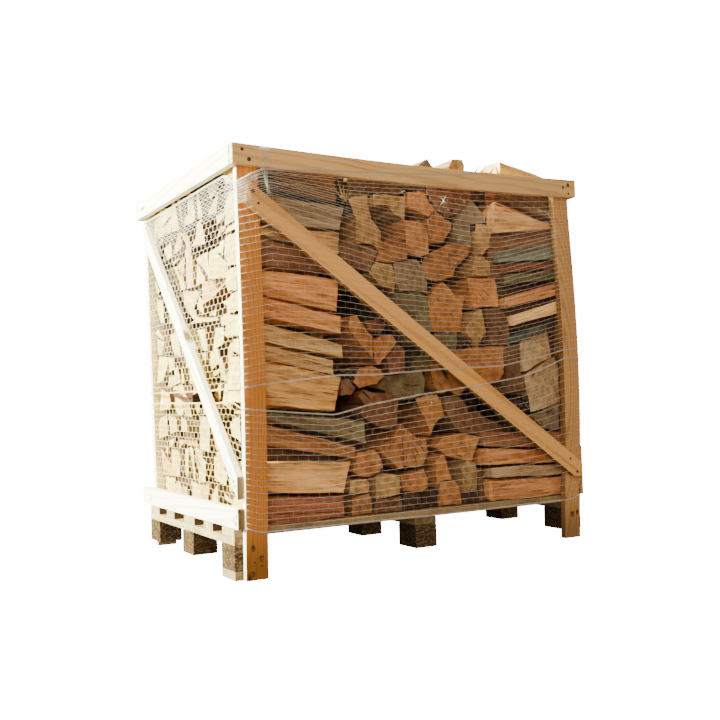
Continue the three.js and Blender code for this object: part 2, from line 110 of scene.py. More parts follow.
class Value:
    """A shader value that Python's operators work on."""

    def __init__(self, finish, socket):
        self.finish = finish
        self.socket = socket

    def made(self, operation, *terms):
        sockets = dict(enumerate(terms))
        node = self.finish.node("ShaderNodeMath", {"operation": operation}, sockets)
        return Value(self.finish, node.outputs[0])

    def __add__(self, other):
        return self.made("ADD", self, other)

    __radd__ = __add__

    def __sub__(self, other):
        return self.made("SUBTRACT", self, other)

    def __rsub__(self, other):
        return self.made("SUBTRACT", other, self)

    def __mul__(self, other):
        return self.made("MULTIPLY", self, other)

    def __pow__(self, other):
        return self.made("POWER", self, other)

    def sine(self):
        return self.made("SINE", self)

    def between(self, low, high):
        """0 below one limit and 1 above the other, with a smooth rise."""
        node = self.finish.node(
            "ShaderNodeMapRange",
            {"interpolation_type": "SMOOTHSTEP"},
            {"Value": self, "From Min": low, "From Max": high},
        )
        return Value(self.finish, node.outputs[0])


class Finish:
    """A material and the few ways in which its nodes are made."""

    def __init__(self, name):
        self.material = bpy.data.materials.new(name)
        self.material.use_nodes = True
        self.tree = self.material.node_tree
        self.tree.nodes.clear()

    def node(self, kind, settings=None, sockets=None):
        made = self.tree.nodes.new(kind)
        for name, setting in (settings or {}).items():
            setattr(made, name, setting)
        for name, value in (sockets or {}).items():
            if isinstance(value, Value):
                value = value.socket
            if isinstance(value, bpy.types.NodeSocket):
                self.tree.links.new(value, made.inputs[name])
            else:
                made.inputs[name].default_value = value
        return made

    def attribute(self, name, output):
        node = self.node("ShaderNodeAttribute", {"attribute_name": name})
        return node.outputs[output]

    def place(self):
        return self.node("ShaderNodeTexCoord").outputs["Object"]

    def stretched(self, vector, scale, shift=(0, 0, 0)):
        sockets = {0: vector, 1: scale, 2: shift}
        return self.node("ShaderNodeVectorMath", {"operation": "MULTIPLY_ADD"}, sockets).outputs[0]

    def cloud(self, vector, scale=1.0, detail=3.0, rough=0.55):
        sockets = {"Vector": vector, "Scale": scale, "Detail": detail, "Roughness": rough}
        return Value(self, self.node("ShaderNodeTexNoise", None, sockets).outputs[0])

    def streaks(self, grain, scale, detail=3.0, rough=0.55, shift=(0, 0, 0)):
        """A cloud in a piece's own wood coordinates, drawn out by a scale for each of them."""
        return self.cloud(self.stretched(grain, scale, shift), 1.0, detail, rough)

    def cells(self, vector, feature="F1", output="Distance"):
        sockets = {"Vector": vector, "Scale": 1.0}
        node = self.node("ShaderNodeTexVoronoi", {"feature": feature}, sockets)
        return node.outputs[output]

    def tinted(self, colour, tint):
        sockets = {0: colour, 1: tint}
        return self.node("ShaderNodeVectorMath", {"operation": "MULTIPLY"}, sockets).outputs[0]

    def blended(self, share, first, second):
        node = self.node("ShaderNodeMix", {"data_type": "RGBA"}, {0: share, 6: first, 7: second})
        return node.outputs[2]

    def parts(self, vector):
        node = self.node("ShaderNodeSeparateXYZ", None, {0: vector})
        return [Value(self, output) for output in node.outputs]

    def surface(self, colour, roughness, height=None, strength=0.5, depth=0.001, shine=0.3,
                glow=0.0):
        sockets = {"Base Color": colour, "Roughness": roughness, "Specular IOR Level": shine}
        if glow:
            sockets["Emission Color"] = colour
            sockets["Emission Strength"] = glow
        if height is not None:
            bump = {"Height": height, "Strength": strength, "Distance": depth}
            sockets["Normal"] = self.node("ShaderNodeBump", None, bump).outputs[0]
        shader = self.node("ShaderNodeBsdfPrincipled", None, sockets)
        self.node("ShaderNodeOutputMaterial", None, {"Surface": shader.outputs[0]})
        return self.material


# Materials. A log or board carries its own wood coordinates in "grain": metres along the
# fibres, then across them from the pith. Its colour, with painted light and shade on some
# faces, is in "tone", and the share of the way from the pith to the log's outer edge in the
# colour's alpha.
RING_WIDTH = 0.0042
BOARD_RING_WIDTH = 0.0052
# Painted shade: the heights in metres between which the boards turn dark towards the ground
GROUND_SHADE_HEIGHTS = (0.02, 0.16)
GROUND_SHADE_TINT = (0.42, 0.44, 0.52)
# The net is yellow on the left face, low down: places across and heights in metres
SUNNY_SIDE = (-0.602, -0.598)
YELLOW_HEIGHTS = (0.45, 0.95)
YELLOW_TINT = (1.0, 0.86, 0.42)
# A glow that shows as plain white
WHITE_GLOW = 17.0


def split_wood():
    finish = Finish("split_wood")
    grain = finish.attribute("grain", "Vector")
    tone = finish.attribute("tone", "Color")
    broad = finish.streaks(grain, (4, 34, 34), 4)
    fibre = finish.streaks(grain, (10, 210, 210), 4, 0.65)
    hair = finish.streaks(grain, (40, 900, 900), 2)
    stain = finish.streaks(grain, (6, 17, 17), shift=(3, 7, 1))
    light = (fibre * 0.9 + hair * 0.3 + broad * 0.75).between(0.62, 1.22)
    dark = finish.tinted(tone, (0.42, 0.33, 0.26))
    bright = finish.tinted(tone, (1.25, 1.22, 1.15))
    colour = finish.blended(light, dark, bright)
    reddish = finish.tinted(colour, (0.76, 0.58, 0.48))
    colour = finish.blended(stain.between(0.50, 0.64) * 0.7, colour, reddish)
    tear = finish.streaks(grain, (12, 260, 260), shift=(1, 5, 9))
    groove = tear.between(0.32, 0.43)
    colour = finish.blended(groove, finish.tinted(colour, (0.36, 0.29, 0.24)), colour)
    height = fibre * 0.8 + hair * 0.25 + groove * 0.4
    return finish.surface(colour, 0.74 + fibre * 0.2, height, strength=0.85, depth=0.0028)


def sawn_end():
    finish = Finish("sawn_end")
    grain = finish.attribute("grain", "Vector")
    tone = finish.attribute("tone", "Color")
    rim = Value(finish, finish.attribute("tone", "Alpha")).between(0.72, 0.95)
    along, across, up = finish.parts(grain)
    wobble = finish.streaks(grain, (0, 22, 22))
    distance = (across * across + up * up) ** 0.5 + wobble * 0.007
    late = (distance * (2 * math.pi / RING_WIDTH)).sine().between(0.1, 1.0)
    angle = up.made("ARCTAN2", up, across)
    spoke = finish.node("ShaderNodeCombineXYZ", None, {0: angle * 16, 1: distance * 14, 2: along})
    crack = finish.cloud(spoke.outputs[0], detail=2).between(0.30, 0.345)
    saw = finish.streaks(grain, (0, 60, 420), 2)
    patch = finish.streaks(grain, (1, 42, 42), 4, 0.6, (5, 2, 3))
    fuzz = finish.streaks(grain, (1, 420, 420), rough=0.7)
    shade = (patch * 1.1 + saw * 0.3 + fuzz * 0.5 - late * 0.16).between(0.55, 1.25)
    dark = finish.tinted(tone, (0.42, 0.32, 0.25))
    colour = finish.blended(shade, dark, finish.tinted(tone, (1.22, 1.18, 1.12)))
    colour = finish.blended(rim * 0.35, colour, finish.tinted(tone, (1.25, 1.45, 1.7)))
    colour = finish.blended(crack, finish.tinted(tone, (0.2, 0.14, 0.11)), colour)
    height = fuzz * 0.5 + saw * 0.5 + crack * 0.8 - late * 0.2
    return finish.surface(colour, 0.88, height, strength=0.7, depth=0.0016, shine=0.2)


def bark():
    finish = Finish("bark")
    grain = finish.attribute("grain", "Vector")
    plates = Value(finish, finish.cells(finish.stretched(grain, (22, 75, 75)), "DISTANCE_TO_EDGE"))
    rough = finish.streaks(grain, (40, 120, 120), 6, 0.65)
    ridge = plates.between(0.02, 0.22) * 0.7 + rough * 0.6
    shown = ridge.between(0.25, 1.0)
    colour = finish.blended(shown, (0.025, 0.016, 0.012, 1), (0.20, 0.12, 0.08, 1))
    moss = finish.streaks(grain, (9, 14, 14)).between(0.55, 0.72)
    colour = finish.blended(moss * 0.4, colour, (0.13, 0.13, 0.09, 1))
    return finish.surface(colour, 0.92, ridge, strength=1.0, depth=0.004, shine=0.15)


def planed_board(name, wear):
    """Sawn pine: long growth-ring lines, knots and fine fibres, greyer with wear."""
    finish = Finish(name)
    grain = finish.attribute("grain", "Vector")
    tone = finish.attribute("tone", "Color")
    drift = finish.streaks(grain, (1.6, 9, 9), 2)
    knots = Value(finish, finish.cells(finish.stretched(grain, (3.1, 13, 2), (0, 0.37, 0))))
    knot = 1 - knots.between(0.045, 0.12)
    pull = 1 - knots.between(0.05, 0.42)
    along, across, up = finish.parts(grain)
    side = across + 0.012 + drift * 0.034 + pull * 0.008
    deep = up + 0.075 + along * 0.012
    distance = (side * side + deep * deep) ** 0.5
    late = (distance * (2 * math.pi / BOARD_RING_WIDTH)).sine().between(-0.1, 1.0)
    fibre = finish.streaks(grain, (7, 260, 260), rough=0.6)
    hair = finish.streaks(grain, (30, 1100, 1100), 2)
    blotch = finish.streaks(grain, (3, 11, 11), 4, shift=(2, 4, 8))
    shade = (1.02 - late * 0.30 + fibre * 0.5 + blotch * 0.6 - hair * 0.12).between(0.72, 1.55)
    dark = finish.tinted(tone, (0.52, 0.40, 0.30))
    colour = finish.blended(shade, dark, finish.tinted(tone, (1.15, 1.15, 1.12)))
    colour = finish.blended(knot, colour, finish.tinted(tone, (0.25, 0.14, 0.09)))
    grime = finish.streaks(grain, (6, 22, 22), 5, 0.65, (9, 1, 5))
    dull = grime.between(0.60 - 0.25 * wear, 0.8 - 0.1 * wear) * (0.3 + 0.55 * wear)
    colour = finish.blended(dull, colour, (0.10, 0.07, 0.045, 1))
    # Painted shade: the boards turn darker towards the ground
    ground_shade = 1 - finish.parts(finish.place())[2].between(*GROUND_SHADE_HEIGHTS)
    colour = finish.blended(ground_shade * 0.9, colour, finish.tinted(colour, GROUND_SHADE_TINT))
    height = fibre * (0.4 + wear) + hair * 0.2 + late * 0.15
    roughness = 0.62 + blotch * 0.25
    return finish.surface(colour, roughness, height, strength=0.4 + 0.4 * wear, depth=0.0012)


def pressed_chips():
    finish = Finish("pressed_chips")
    place = finish.place()
    flat = finish.stretched(place, (170, 170, 300))
    light, dark, spare = finish.parts(finish.cells(flat, "F1", "Color"))
    seams = Value(finish, finish.cells(flat, "DISTANCE_TO_EDGE"))
    dust = finish.cloud(place, 45, 5)
    shown = light.between(0.1, 0.95)
    colour = finish.blended(shown, (0.045, 0.025, 0.013, 1), (0.15, 0.092, 0.042, 1))
    colour = finish.blended(dark.between(0.62, 0.92) * 0.85, colour, (0.025, 0.014, 0.008, 1))
    shut = finish.tinted(colour, (0.45, 0.4, 0.36))
    colour = finish.blended(seams.between(0.0, 0.07), shut, colour)
    colour = finish.blended(dust.between(0.5, 0.8) * 0.4, colour, (0.17, 0.12, 0.065, 1))
    colour = finish.tinted(colour, finish.attribute("tone", "Color"))
    height = seams.between(0, 0.2) + spare * 0.8
    return finish.surface(colour, 0.92, height, strength=0.7, depth=0.0018, shine=0.15)


def net_cord():
    finish = Finish("net_cord")
    place = finish.place()
    twist = finish.cloud(place, 900, 1).between(0.35, 0.65)
    colour = finish.blended(twist, (0.64, 0.61, 0.57, 1), (0.86, 0.84, 0.80, 1))
    across, _, up = finish.parts(place)
    yellowed = (1 - across.between(*SUNNY_SIDE)) * (1 - up.between(*YELLOW_HEIGHTS))
    colour = finish.blended(yellowed, colour, finish.tinted(colour, YELLOW_TINT))
    return finish.surface(colour, 0.45, twist, strength=0.3, depth=0.0004)


def nail_steel():
    finish = Finish("nail_steel")
    rust = finish.cloud(finish.place(), 700, 3).between(0.4, 0.6)
    colour = finish.blended(rust, (0.045, 0.04, 0.037, 1), (0.06, 0.024, 0.012, 1))
    return finish.surface(colour, 0.6, rust, strength=0.3, depth=0.0003)


def rust_stain():
    finish = Finish("rust_stain")
    spread = finish.cloud(finish.place(), 160, 3).between(0.35, 0.65)
    colour = finish.blended(spread, (0.09, 0.032, 0.012, 1), (0.24, 0.095, 0.03, 1))
    return finish.surface(colour, 0.85, spread, strength=0.1, depth=0.0002)


def studio_floor():
    finish = Finish("studio_floor")
    tooth = finish.cloud(finish.place(), 90, 3)
    colour = finish.blended(tooth, (0.90, 0.90, 0.895, 1), (0.93, 0.93, 0.925, 1))
    return finish.surface(colour, 0.85, tooth, strength=0.02, depth=0.0005, glow=WHITE_GLOW)


LOG_MATERIALS = [split_wood(), sawn_end(), bark()]
SPLIT, SAWN, BARK = range(3)
PINE = planed_board("planed_pine", 0.08)
GREY = planed_board("weathered_board", 0.75)
CHIPS = pressed_chips()
CORD = net_cord()
STEEL = nail_steel()
STAIN = rust_stain()

# Wood colours, from freshly split to weathered and dark. "dark" and "brown" also colour the
# logs set back in the gaps, as painted shade
TONES = {
    "pale": (0.66, 0.42, 0.19),
    "tan": (0.53, 0.315, 0.13),
    "yellow": (0.70, 0.45, 0.15),
    "amber": (0.62, 0.33, 0.115),
    "orange": (0.51, 0.22, 0.080),
    "bright": (0.60, 0.255, 0.085),
    "umber": (0.15, 0.085, 0.05),
    "faded": (0.60, 0.43, 0.26),
    "red": (0.27, 0.105, 0.06),
    "brown": (0.22, 0.11, 0.06),
    "olive": (0.20, 0.155, 0.085),
    "grey": (0.31, 0.22, 0.14),
    "slate": (0.13, 0.145, 0.12),
    "dark": (0.085, 0.045, 0.028),
}
# Painted sunlight: the pale colour towards which the ends that lie in the sun are mixed
SUNLIT_END_TONE = (0.82, 0.73, 0.19)
LIGHT_RANGE = 0.14
WARM_RANGE = 0.056


def varied(tone, seed, light=1.0):
    """A log's own shade of a wood colour."""
    red, green, blue = TONES[tone]
    light *= 1 + LIGHT_RANGE * (2 * ((seed * 37) % 101) / 100 - 1)
    warm = 1 + WARM_RANGE * (2 * ((seed * 53) % 97) / 96 - 1)
    return (red * light * warm, green * light, blue * light / warm)


def finished(name, mesh, materials, slot, body="root"):
    piece = bpy.data.objects.new(name, mesh)
    bpy.context.scene.collection.objects.link(piece)
    for material in materials:
        mesh.materials.append(material)
    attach(piece, body)
    return piece


def instead_of(node, name, mesh, materials):
    """A finished piece in a solid's place, with that solid hidden."""
    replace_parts(finished(name, mesh, materials, SLOTS[node]), node)


def to_mesh(work, name):
    mesh = bpy.data.meshes.new(name)
    work.to_mesh(mesh)
    work.free()
    return mesh


# Logs. Their relief is weaker on their ends, and none is deeper than a share of the way to the
# middle. Bark begins at a share of the way from the pith.
CHAMFER = 0.9
SHARP_ANGLE = 0.55
END_FADE = 0.65
CORE_RADIUS = 4
DEEPEST_SHARE = 0.3
BARK_FROM = 0.80
LIGHTEST_SIDE = 1.06
SIDE_RANGE = 0.30
LOG_GRAIN_STEP = 173
# Painted shade: the sides of the sunlit logs are dark near their sunlit ends, over this length
# in millimetres
LOG_FLANK_SHADE = 0.3
LOG_FLANK_SHADE_REACH = 110


def wood_layers(work):
    """New corner layers for the wood coordinates and the colour."""
    layers = work.loops.layers
    return layers.float_vector.new("grain"), layers.float_color.new("tone")


def new_work():
    work = bmesh.new()
    wood_layers(work)
    return work


def place_logs(work, node, name):
    instead_of(node, name, to_mesh(work, name), LOG_MATERIALS)


def centre_of(points):
    return sum(points, Vector((0, 0))) / len(points)


def pith_of(points, seed):
    """The middle of the tree lies just past the section's sharpest end."""
    centre = centre_of(points)
    tip = max(points, key=lambda point: (point - centre).length)
    return centre + (tip - centre) * (1.05 + 0.25 * ((seed * 7) % 5) / 5)


def log_section(outline, fine, shrink, cuts):
    """A flat section in the plane x = 0, drawn in by a little, cut, and with split edges."""
    log = bmesh.new()
    centre = centre_of([Vector(point) for point in outline])
    corners = []
    for point in outline:
        inward = centre - Vector(point)
        spot = Vector(point) + inward * (shrink / max(inward.length, shrink))
        corners.append(log.verts.new((0, spot.x, spot.y)))
    log.faces.new(corners)
    for spot, way in cuts:
        everything = list(log.verts) + list(log.edges) + list(log.faces)
        bmesh.ops.bisect_plane(log, geom=everything, dist=1e-4, plane_co=(0, *spot),
                               plane_no=(0, *way), clear_outer=True)
    for edge in list(log.edges):
        pieces = int(edge.calc_length() / fine)
        if pieces:
            bmesh.ops.subdivide_edges(log, edges=[edge], cuts=pieces)
    return log


def long_relief(across, up, along, seed):
    """Depth of ridges, creases and ledges that run with the fibres, from 0 to about 3."""
    ridge = noise.noise(Vector((across / 9, up / 9, seed * 3.1 + along / 200)))
    crease = 1 - 2.6 * abs(noise.noise(Vector((across / 19, up / 19, seed * 2.3 + along / 280))))
    ledge = noise.noise(Vector((across / 38, up / 38, seed * 1.7 + along / 120)))
    deep = 0.8 * limited(crease) ** 3 + 1.3 * eased(ledge * 2.2 + 0.35)
    return 0.35 + 0.6 * (ridge + 0.4) + deep


def add_log(work, outline, length, place, seed, tone, barked=False, fine=6.0, steps=8, relief=2.2,
            shrink=1.5, tilt=0.0, cuts=(), sunny=0.0):
    """Draws a section out along the fibres and roughens it.

    place(u, across, up) gives the frame's point for a share u of the length. The first end is
    painted sunlit by the share sunny, and the sides near it then carry painted shade."""
    log = log_section(outline, fine, shrink, cuts)
    if not log.faces:
        log.free()
        return
    section = [Vector((vert.co.y, vert.co.z)) for vert in log.verts]
    drawn = bmesh.ops.extrude_face_region(log, geom=list(log.faces))["geom"]
    far_verts = [part for part in drawn if isinstance(part, bmesh.types.BMVert)]
    bmesh.ops.translate(log, vec=(1, 0, 0), verts=far_verts)
    long_edges = [edge for edge in log.edges if abs(edge.verts[0].co.x - edge.verts[1].co.x) > 0.5]
    bmesh.ops.subdivide_edges(log, edges=long_edges, cuts=steps - 1)
    bmesh.ops.recalc_face_normals(log, faces=list(log.faces))
    caps = [face for face in log.faces if abs(face.normal.x) > 0.9]
    bmesh.ops.inset_individual(log, faces=caps, thickness=CHAMFER, depth=0)
    cap_verts = {vert for face in caps for vert in face.verts}
    cap_set = set(caps)

    centre = centre_of(section)
    pith = pith_of(section, seed)
    reach = max((point - pith).length for point in section)
    grain, colour = wood_layers(log)
    for face in log.faces:
        middle = face.calc_center_median()
        far = (Vector((middle.y, middle.z)) - pith).length / reach
        side = 1.0
        own = tone
        if face in cap_set:
            face.material_index = SAWN
            if middle.x < 0.5:
                # Painted sunlight on the end that faces the sun
                own = [mix(part, pale, sunny) for part, pale in zip(tone, SUNLIT_END_TONE)]
        elif barked and far > BARK_FROM:
            face.material_index = BARK
        else:
            turn = round(math.atan2(face.normal.z, face.normal.y) * 2.2)
            side = LIGHTEST_SIDE - SIDE_RANGE * ((turn * 29 + seed * 13) % 7) / 6
            face.material_index = SPLIT
        face.smooth = face not in cap_set
        for loop in face.loops:
            co = loop.vert.co
            offset = (co.x * length + seed * LOG_GRAIN_STEP, co.y - pith.x, co.z - pith.y)
            loop[grain] = Vector(offset) / 1000
            share = (Vector((co.y, co.z)) - pith).length / reach
            light = side
            # Painted shade on the sides near the sunlit end
            if sunny and face not in cap_set:
                light *= mix(LOG_FLANK_SHADE, 1, eased(co.x * length / LOG_FLANK_SHADE_REACH))
            loop[colour] = (own[0] * light, own[1] * light, own[2] * light, share)

    lean = Vector((math.cos(seed * 2.4), math.sin(seed * 2.4))) * tilt
    drop = max(lean.dot(point - centre) for point in section)
    for vert in log.verts:
        u, across, up = vert.co
        spot = Vector((across, up))
        inward = centre - spot
        end = u in (0, 1)
        depth = relief * long_relief(across, up, u * length, seed) * (END_FADE if end else 1.0)
        if inward.length > CORE_RADIUS:
            deepest = inward.length * DEEPEST_SHARE
            spot = spot + inward.normalized() * limited(depth, 0, deepest)
        back = (drop - lean.dot(spot - centre)) / length if end else 0
        if end and vert not in cap_verts:
            back += CHAMFER / length
        vert.co = place(u + (back if u < 0.5 else -back), spot.x, spot.y)
    bmesh.ops.recalc_face_normals(log, faces=list(log.faces))
    for edge in log.edges:
        edge.smooth = edge.calc_face_angle(0) < SHARP_ANGLE
    joined = bpy.data.meshes.new("log")
    log.to_mesh(joined)
    log.free()
    work.from_mesh(joined)
    bpy.data.meshes.remove(joined)


def depthwise(start, end):
    return lambda u, across, up: placed(across, mix(start, end, u), up)


def crosswise(start, end):
    return lambda u, across, up: placed(mix(start, end, u), across, up)


# Ends of the middle column's front logs, bottom rows first, each with its colour
FRONT_ENDS = [
    ("orange", [(347, 141), (425, 141), (424, 182), (411, 207), (376, 202), (349, 194)]),
    ("brown", [(422, 141), (530, 141), (529, 187), (482, 184), (437, 186)]),
    ("dark", [(526, 141), (600, 141), (594, 193), (533, 201)]),
    ("dark", [(596, 141), (668, 141), (672, 200), (616, 206)]),
    ("orange", [(667, 141), (746, 141), (745, 200), (726, 222), (671, 216)]),
    ("dark", [(745, 141), (826, 141), (820, 180), (750, 176)]),
    ("brown", [(824, 141), (850, 141), (850, 252), (824, 250)]),
    ("tan", [(344, 206), (372, 201), (409, 206), (416, 236), (401, 250), (346, 248)]),
    ("tan", [(434, 182), (484, 181), (530, 192), (531, 243), (509, 255), (474, 262), (436, 250)]),
    ("orange", [(529, 199), (594, 190), (618, 203), (626, 233), (611, 266), (585, 261),
                (530, 243)]),
    ("bright", [(668, 214), (727, 219), (716, 242), (705, 281), (688, 307), (657, 290),
                (662, 246)]),
    ("tan", [(757, 176), (812, 177), (821, 245), (809, 275), (774, 281), (748, 256)]),
    ("orange", [(368, 265), (391, 250), (422, 248), (449, 261), (469, 277), (465, 296), (456, 318),
                (439, 334), (380, 327)]),
    ("orange", [(544, 270), (597, 262), (628, 266), (650, 312), (644, 330), (641, 360), (600, 361),
                (572, 378), (543, 398)]),
    ("orange", [(533, 268), (540, 352), (556, 384), (545, 404), (524, 392), (498, 360), (463, 346),
                (446, 334), (458, 318), (484, 296), (514, 266)]),
    ("bright", [(684, 311), (707, 292), (728, 286), (799, 272), (816, 321), (829, 350), (752, 368),
                (692, 358), (660, 326)]),
    ("brown", [(696, 430), (720, 392), (752, 364), (838, 355), (926, 358), (942, 380), (905, 396),
               (863, 410), (832, 434), (792, 431), (779, 463), (752, 483), (686, 480)]),
    ("bright", [(614, 440), (632, 407), (642, 358), (665, 401), (701, 421), (691, 465), (680, 491),
                (643, 492), (597, 481), (603, 463)]),
    ("brown", [(391, 442), (408, 423), (452, 397), (494, 386), (527, 392), (530, 476), (522, 490),
               (476, 503), (435, 503), (400, 514), (383, 493), (406, 466)]),
    ("brown", [(328, 494), (366, 492), (385, 514), (362, 547), (329, 542)]),
    ("olive", [(530, 470), (600, 478), (630, 494), (634, 536), (623, 564), (536, 559), (490, 550),
               (478, 532), (432, 522), (490, 506)]),
    ("orange", [(361, 533), (387, 513), (416, 519), (456, 526), (487, 552), (465, 572), (438, 585),
                (385, 577)]),
    ("orange", [(652, 550), (658, 511), (685, 488), (726, 504), (719, 528), (698, 564), (684, 594),
                (650, 598)]),
    ("orange", [(720, 560), (722, 500), (760, 482), (840, 520), (896, 522), (922, 526), (939, 550),
                (934, 641), (829, 641), (742, 626)]),
    ("brown", [(946, 545), (955, 487), (1044, 487), (1036, 545), (1018, 552), (1020, 652),
               (936, 645)]),
    ("faded", [(1042, 416), (1097, 428), (1165, 450), (1170, 566), (1156, 606), (1109, 583),
               (1027, 547), (1036, 490)]),
    ("grey", [(1045, 405), (1060, 392), (1102, 359), (1172, 354), (1172, 455), (1097, 432)]),
    ("faded", [(1021, 553), (1036, 554), (1110, 585), (1158, 602), (1154, 712), (1064, 680),
               (1019, 660)]),
    ("slate", [(938, 641), (1022, 655), (1120, 697), (1120, 718), (1024, 689), (938, 662)]),
    ("orange", [(443, 592), (459, 580), (487, 603), (514, 629), (537, 655), (514, 680), (472, 676),
                (440, 660)]),
    ("red", [(500, 550), (530, 556), (552, 562), (558, 628), (535, 651), (505, 623), (486, 604)]),
    ("olive", [(600, 560), (652, 560), (670, 600), (716, 612), (760, 622), (761, 689), (673, 685),
               (625, 640)]),
    ("orange", [(403, 636), (440, 602), (447, 668), (425, 693), (390, 735), (366, 731), (354, 697),
                (368, 678)]),
    ("red", [(430, 686), (472, 674), (497, 705), (471, 724), (422, 722)]),
    ("bright", [(654, 683), (671, 684), (796, 686), (794, 704), (806, 806), (772, 802), (739, 829),
                (711, 846), (679, 825), (654, 790)]),
    ("olive", [(540, 650), (632, 634), (657, 690), (656, 798), (618, 815), (530, 807),
               (544, 740)]),
    ("tan", [(792, 680), (839, 636), (875, 683), (851, 760), (830, 757), (792, 697)]),
    ("brown", [(868, 700), (880, 640), (960, 641), (972, 676), (970, 724), (956, 746), (926, 770),
               (858, 762)]),
    ("bright", [(820, 795), (832, 760), (926, 766), (931, 799), (924, 868), (815, 864)]),
    ("tan", [(434, 860), (487, 816), (522, 812), (530, 800), (540, 842), (516, 893), (458, 897)]),
    ("grey", [(530, 838), (545, 806), (618, 812), (652, 800), (660, 860), (645, 891), (622, 915),
              (567, 910), (526, 898)]),
    ("orange", [(636, 878), (657, 850), (698, 843), (762, 862), (770, 889), (815, 930), (828, 960),
                (789, 977), (738, 968), (655, 925)]),
    ("tan", [(812, 884), (820, 862), (898, 866), (899, 914), (862, 932), (826, 930)]),
    ("brown", [(340, 906), (379, 878), (436, 860), (463, 903), (472, 926), (451, 944), (395, 950),
               (341, 950)]),
    ("orange", [(470, 924), (458, 896), (520, 892), (574, 908), (577, 938), (550, 952), (497, 958),
                (452, 953)]),
    ("tan", [(396, 946), (466, 948), (498, 956), (496, 993), (466, 1028), (455, 1072), (453, 1108),
             (408, 1101), (376, 1085), (401, 1018)]),
    ("orange", [(574, 966), (576, 930), (622, 912), (655, 926), (656, 998), (645, 1017),
                (620, 1034), (571, 1034)]),
    ("orange", [(656, 1010), (668, 960), (722, 966), (756, 1011), (757, 1033), (724, 1049),
                (710, 1070), (679, 1068), (655, 1042)]),
    ("grey", [(763, 1008), (772, 969), (828, 956), (832, 1012), (838, 1035), (902, 1046),
              (878, 1097), (845, 1124), (773, 1062)]),
    ("tan", [(829, 990), (862, 930), (892, 960), (900, 1020), (884, 1036), (836, 1036)]),
    ("tan", [(458, 1102), (456, 1066), (502, 1072), (544, 1042), (581, 1030), (587, 1108),
             (500, 1106)]),
    ("orange", [(586, 1120), (580, 1070), (656, 1040), (684, 1066), (661, 1100), (653, 1129)]),
    ("umber", [(372, 1148), (376, 1086), (457, 1104), (495, 1094), (545, 1104), (588, 1118),
               (562, 1136), (480, 1152)]),
    ("brown", [(650, 1122), (684, 1064), (727, 1044), (772, 1058), (845, 1122), (842, 1168),
               (650, 1168)]),
    ("dark", [(562, 1130), (653, 1119), (655, 1166), (476, 1166), (476, 1146)]),
    ("grey", [(622, 1166), (706, 1166), (698, 1206), (669, 1234), (632, 1211)]),
    ("tan", [(715, 1166), (802, 1166), (805, 1222), (799, 1242), (757, 1240), (734, 1207)]),
]
# How deep they begin, in turn
FRONT_STARTS = [30, 36, 32, 44, 34, 40, 48]
# Dark logs half hidden behind them, as painted shade in the gaps: left and right edge, lower
# and upper face
SUNK_ENDS = [
    (327, 404, 1088, 1164), (846, 962, 1112, 1163), (470, 700, 690, 830), (700, 960, 560, 660),
]
SUNK_START = 75


def middle_front_logs():
    work = new_work()
    for index, (tone, outline) in enumerate(FRONT_ENDS):
        start = FRONT_STARTS[index % len(FRONT_STARTS)]
        end = FRONT_ROW - (index % 4) * 5
        colour = varied(tone, index + 11)
        add_log(work, outline, end - start, depthwise(start, end), index + 1, colour,
                barked=index % 4 == 1, fine=4.0, steps=7, relief=2.3, shrink=1.2, tilt=0.14)
    behind = depthwise(SUNK_START, FRONT_ROW)
    for index, (left, right, low, high) in enumerate(SUNK_ENDS):
        outline = [(left, low), (right, low), (right, high), (left, high)]
        add_log(work, outline, FRONT_ROW - SUNK_START, behind, index + 80, varied("dark", index),
                steps=3)
    place_logs(work, "firewood_middle_front", "split_logs_middle_front")


# Sections of the logs that lie along the front, in shares of their depth and their height
SECTIONS = {
    "slab": [(0, 0.04), (1, 0), (0.97, 0.62), (0.6, 0.98), (0, 1)],
    "round": [(0, 0), (0.72, 0.02), (1, 0.42), (0.86, 0.9), (0.45, 1), (0, 0.95)],
    "wedge": [(0, 0), (0.85, 0.22), (1, 0.7), (0.5, 1), (0, 0.94)],
    "thick": [(0, 0), (1, 0), (0.97, 0.93), (0.5, 1), (0, 0.95)],
    "block": [(0, 0), (1, 0), (1, 1), (0, 1)],
}
# These logs, lowest first: colour, section, left and right end, and the heights of the lower and
# of the upper face at both ends
LEFT_LOGS = [
    [("red", "round", 5, 323, (140.5, 140.5), (231, 207), {})],
    [("amber", "slab", 3, 354, (232, 205.5), (326, 304), {"cut": 28, "front": 2})],
    [("orange", "wedge", 6, 370, (372, 307), (452, 345), {"front": 6})],
    [("olive", "slab", 20, 408, (453, 346), (464, 421), {"front": 9, "depth": 80})],
    [("amber", "slab", 4, 325, (479, 443), (618, 549), {"cut": 20})],
    [("tan", "wedge", 9, 303, (619, 554), (665, 602), {"front": 5})],
    [("tan", "round", 5, 338, (666, 603), (735, 645), {"front": 3})],
    [("orange", "slab", 8, 331, (736, 672), (795, 730), {"front": 2})],
    [("bright", "round", 4, 331, (796, 738), (866, 845), {"cut": 15})],
    [
        ("brown", "round", 7, 333, (867, 853), (966, 905), {"front": 8}),
        ("tan", "slab", 7, 333, (968, 907), (985, 977), {"front": 4}),
    ],
    [("grey", "slab", 5, 352, (986, 978), (1082, 1052), {"front": 3, "cut": 16})],
    [("umber", "round", 8, 330, (1101, 1062), (1168, 1160), {"front": 6, "barked": True})],
]
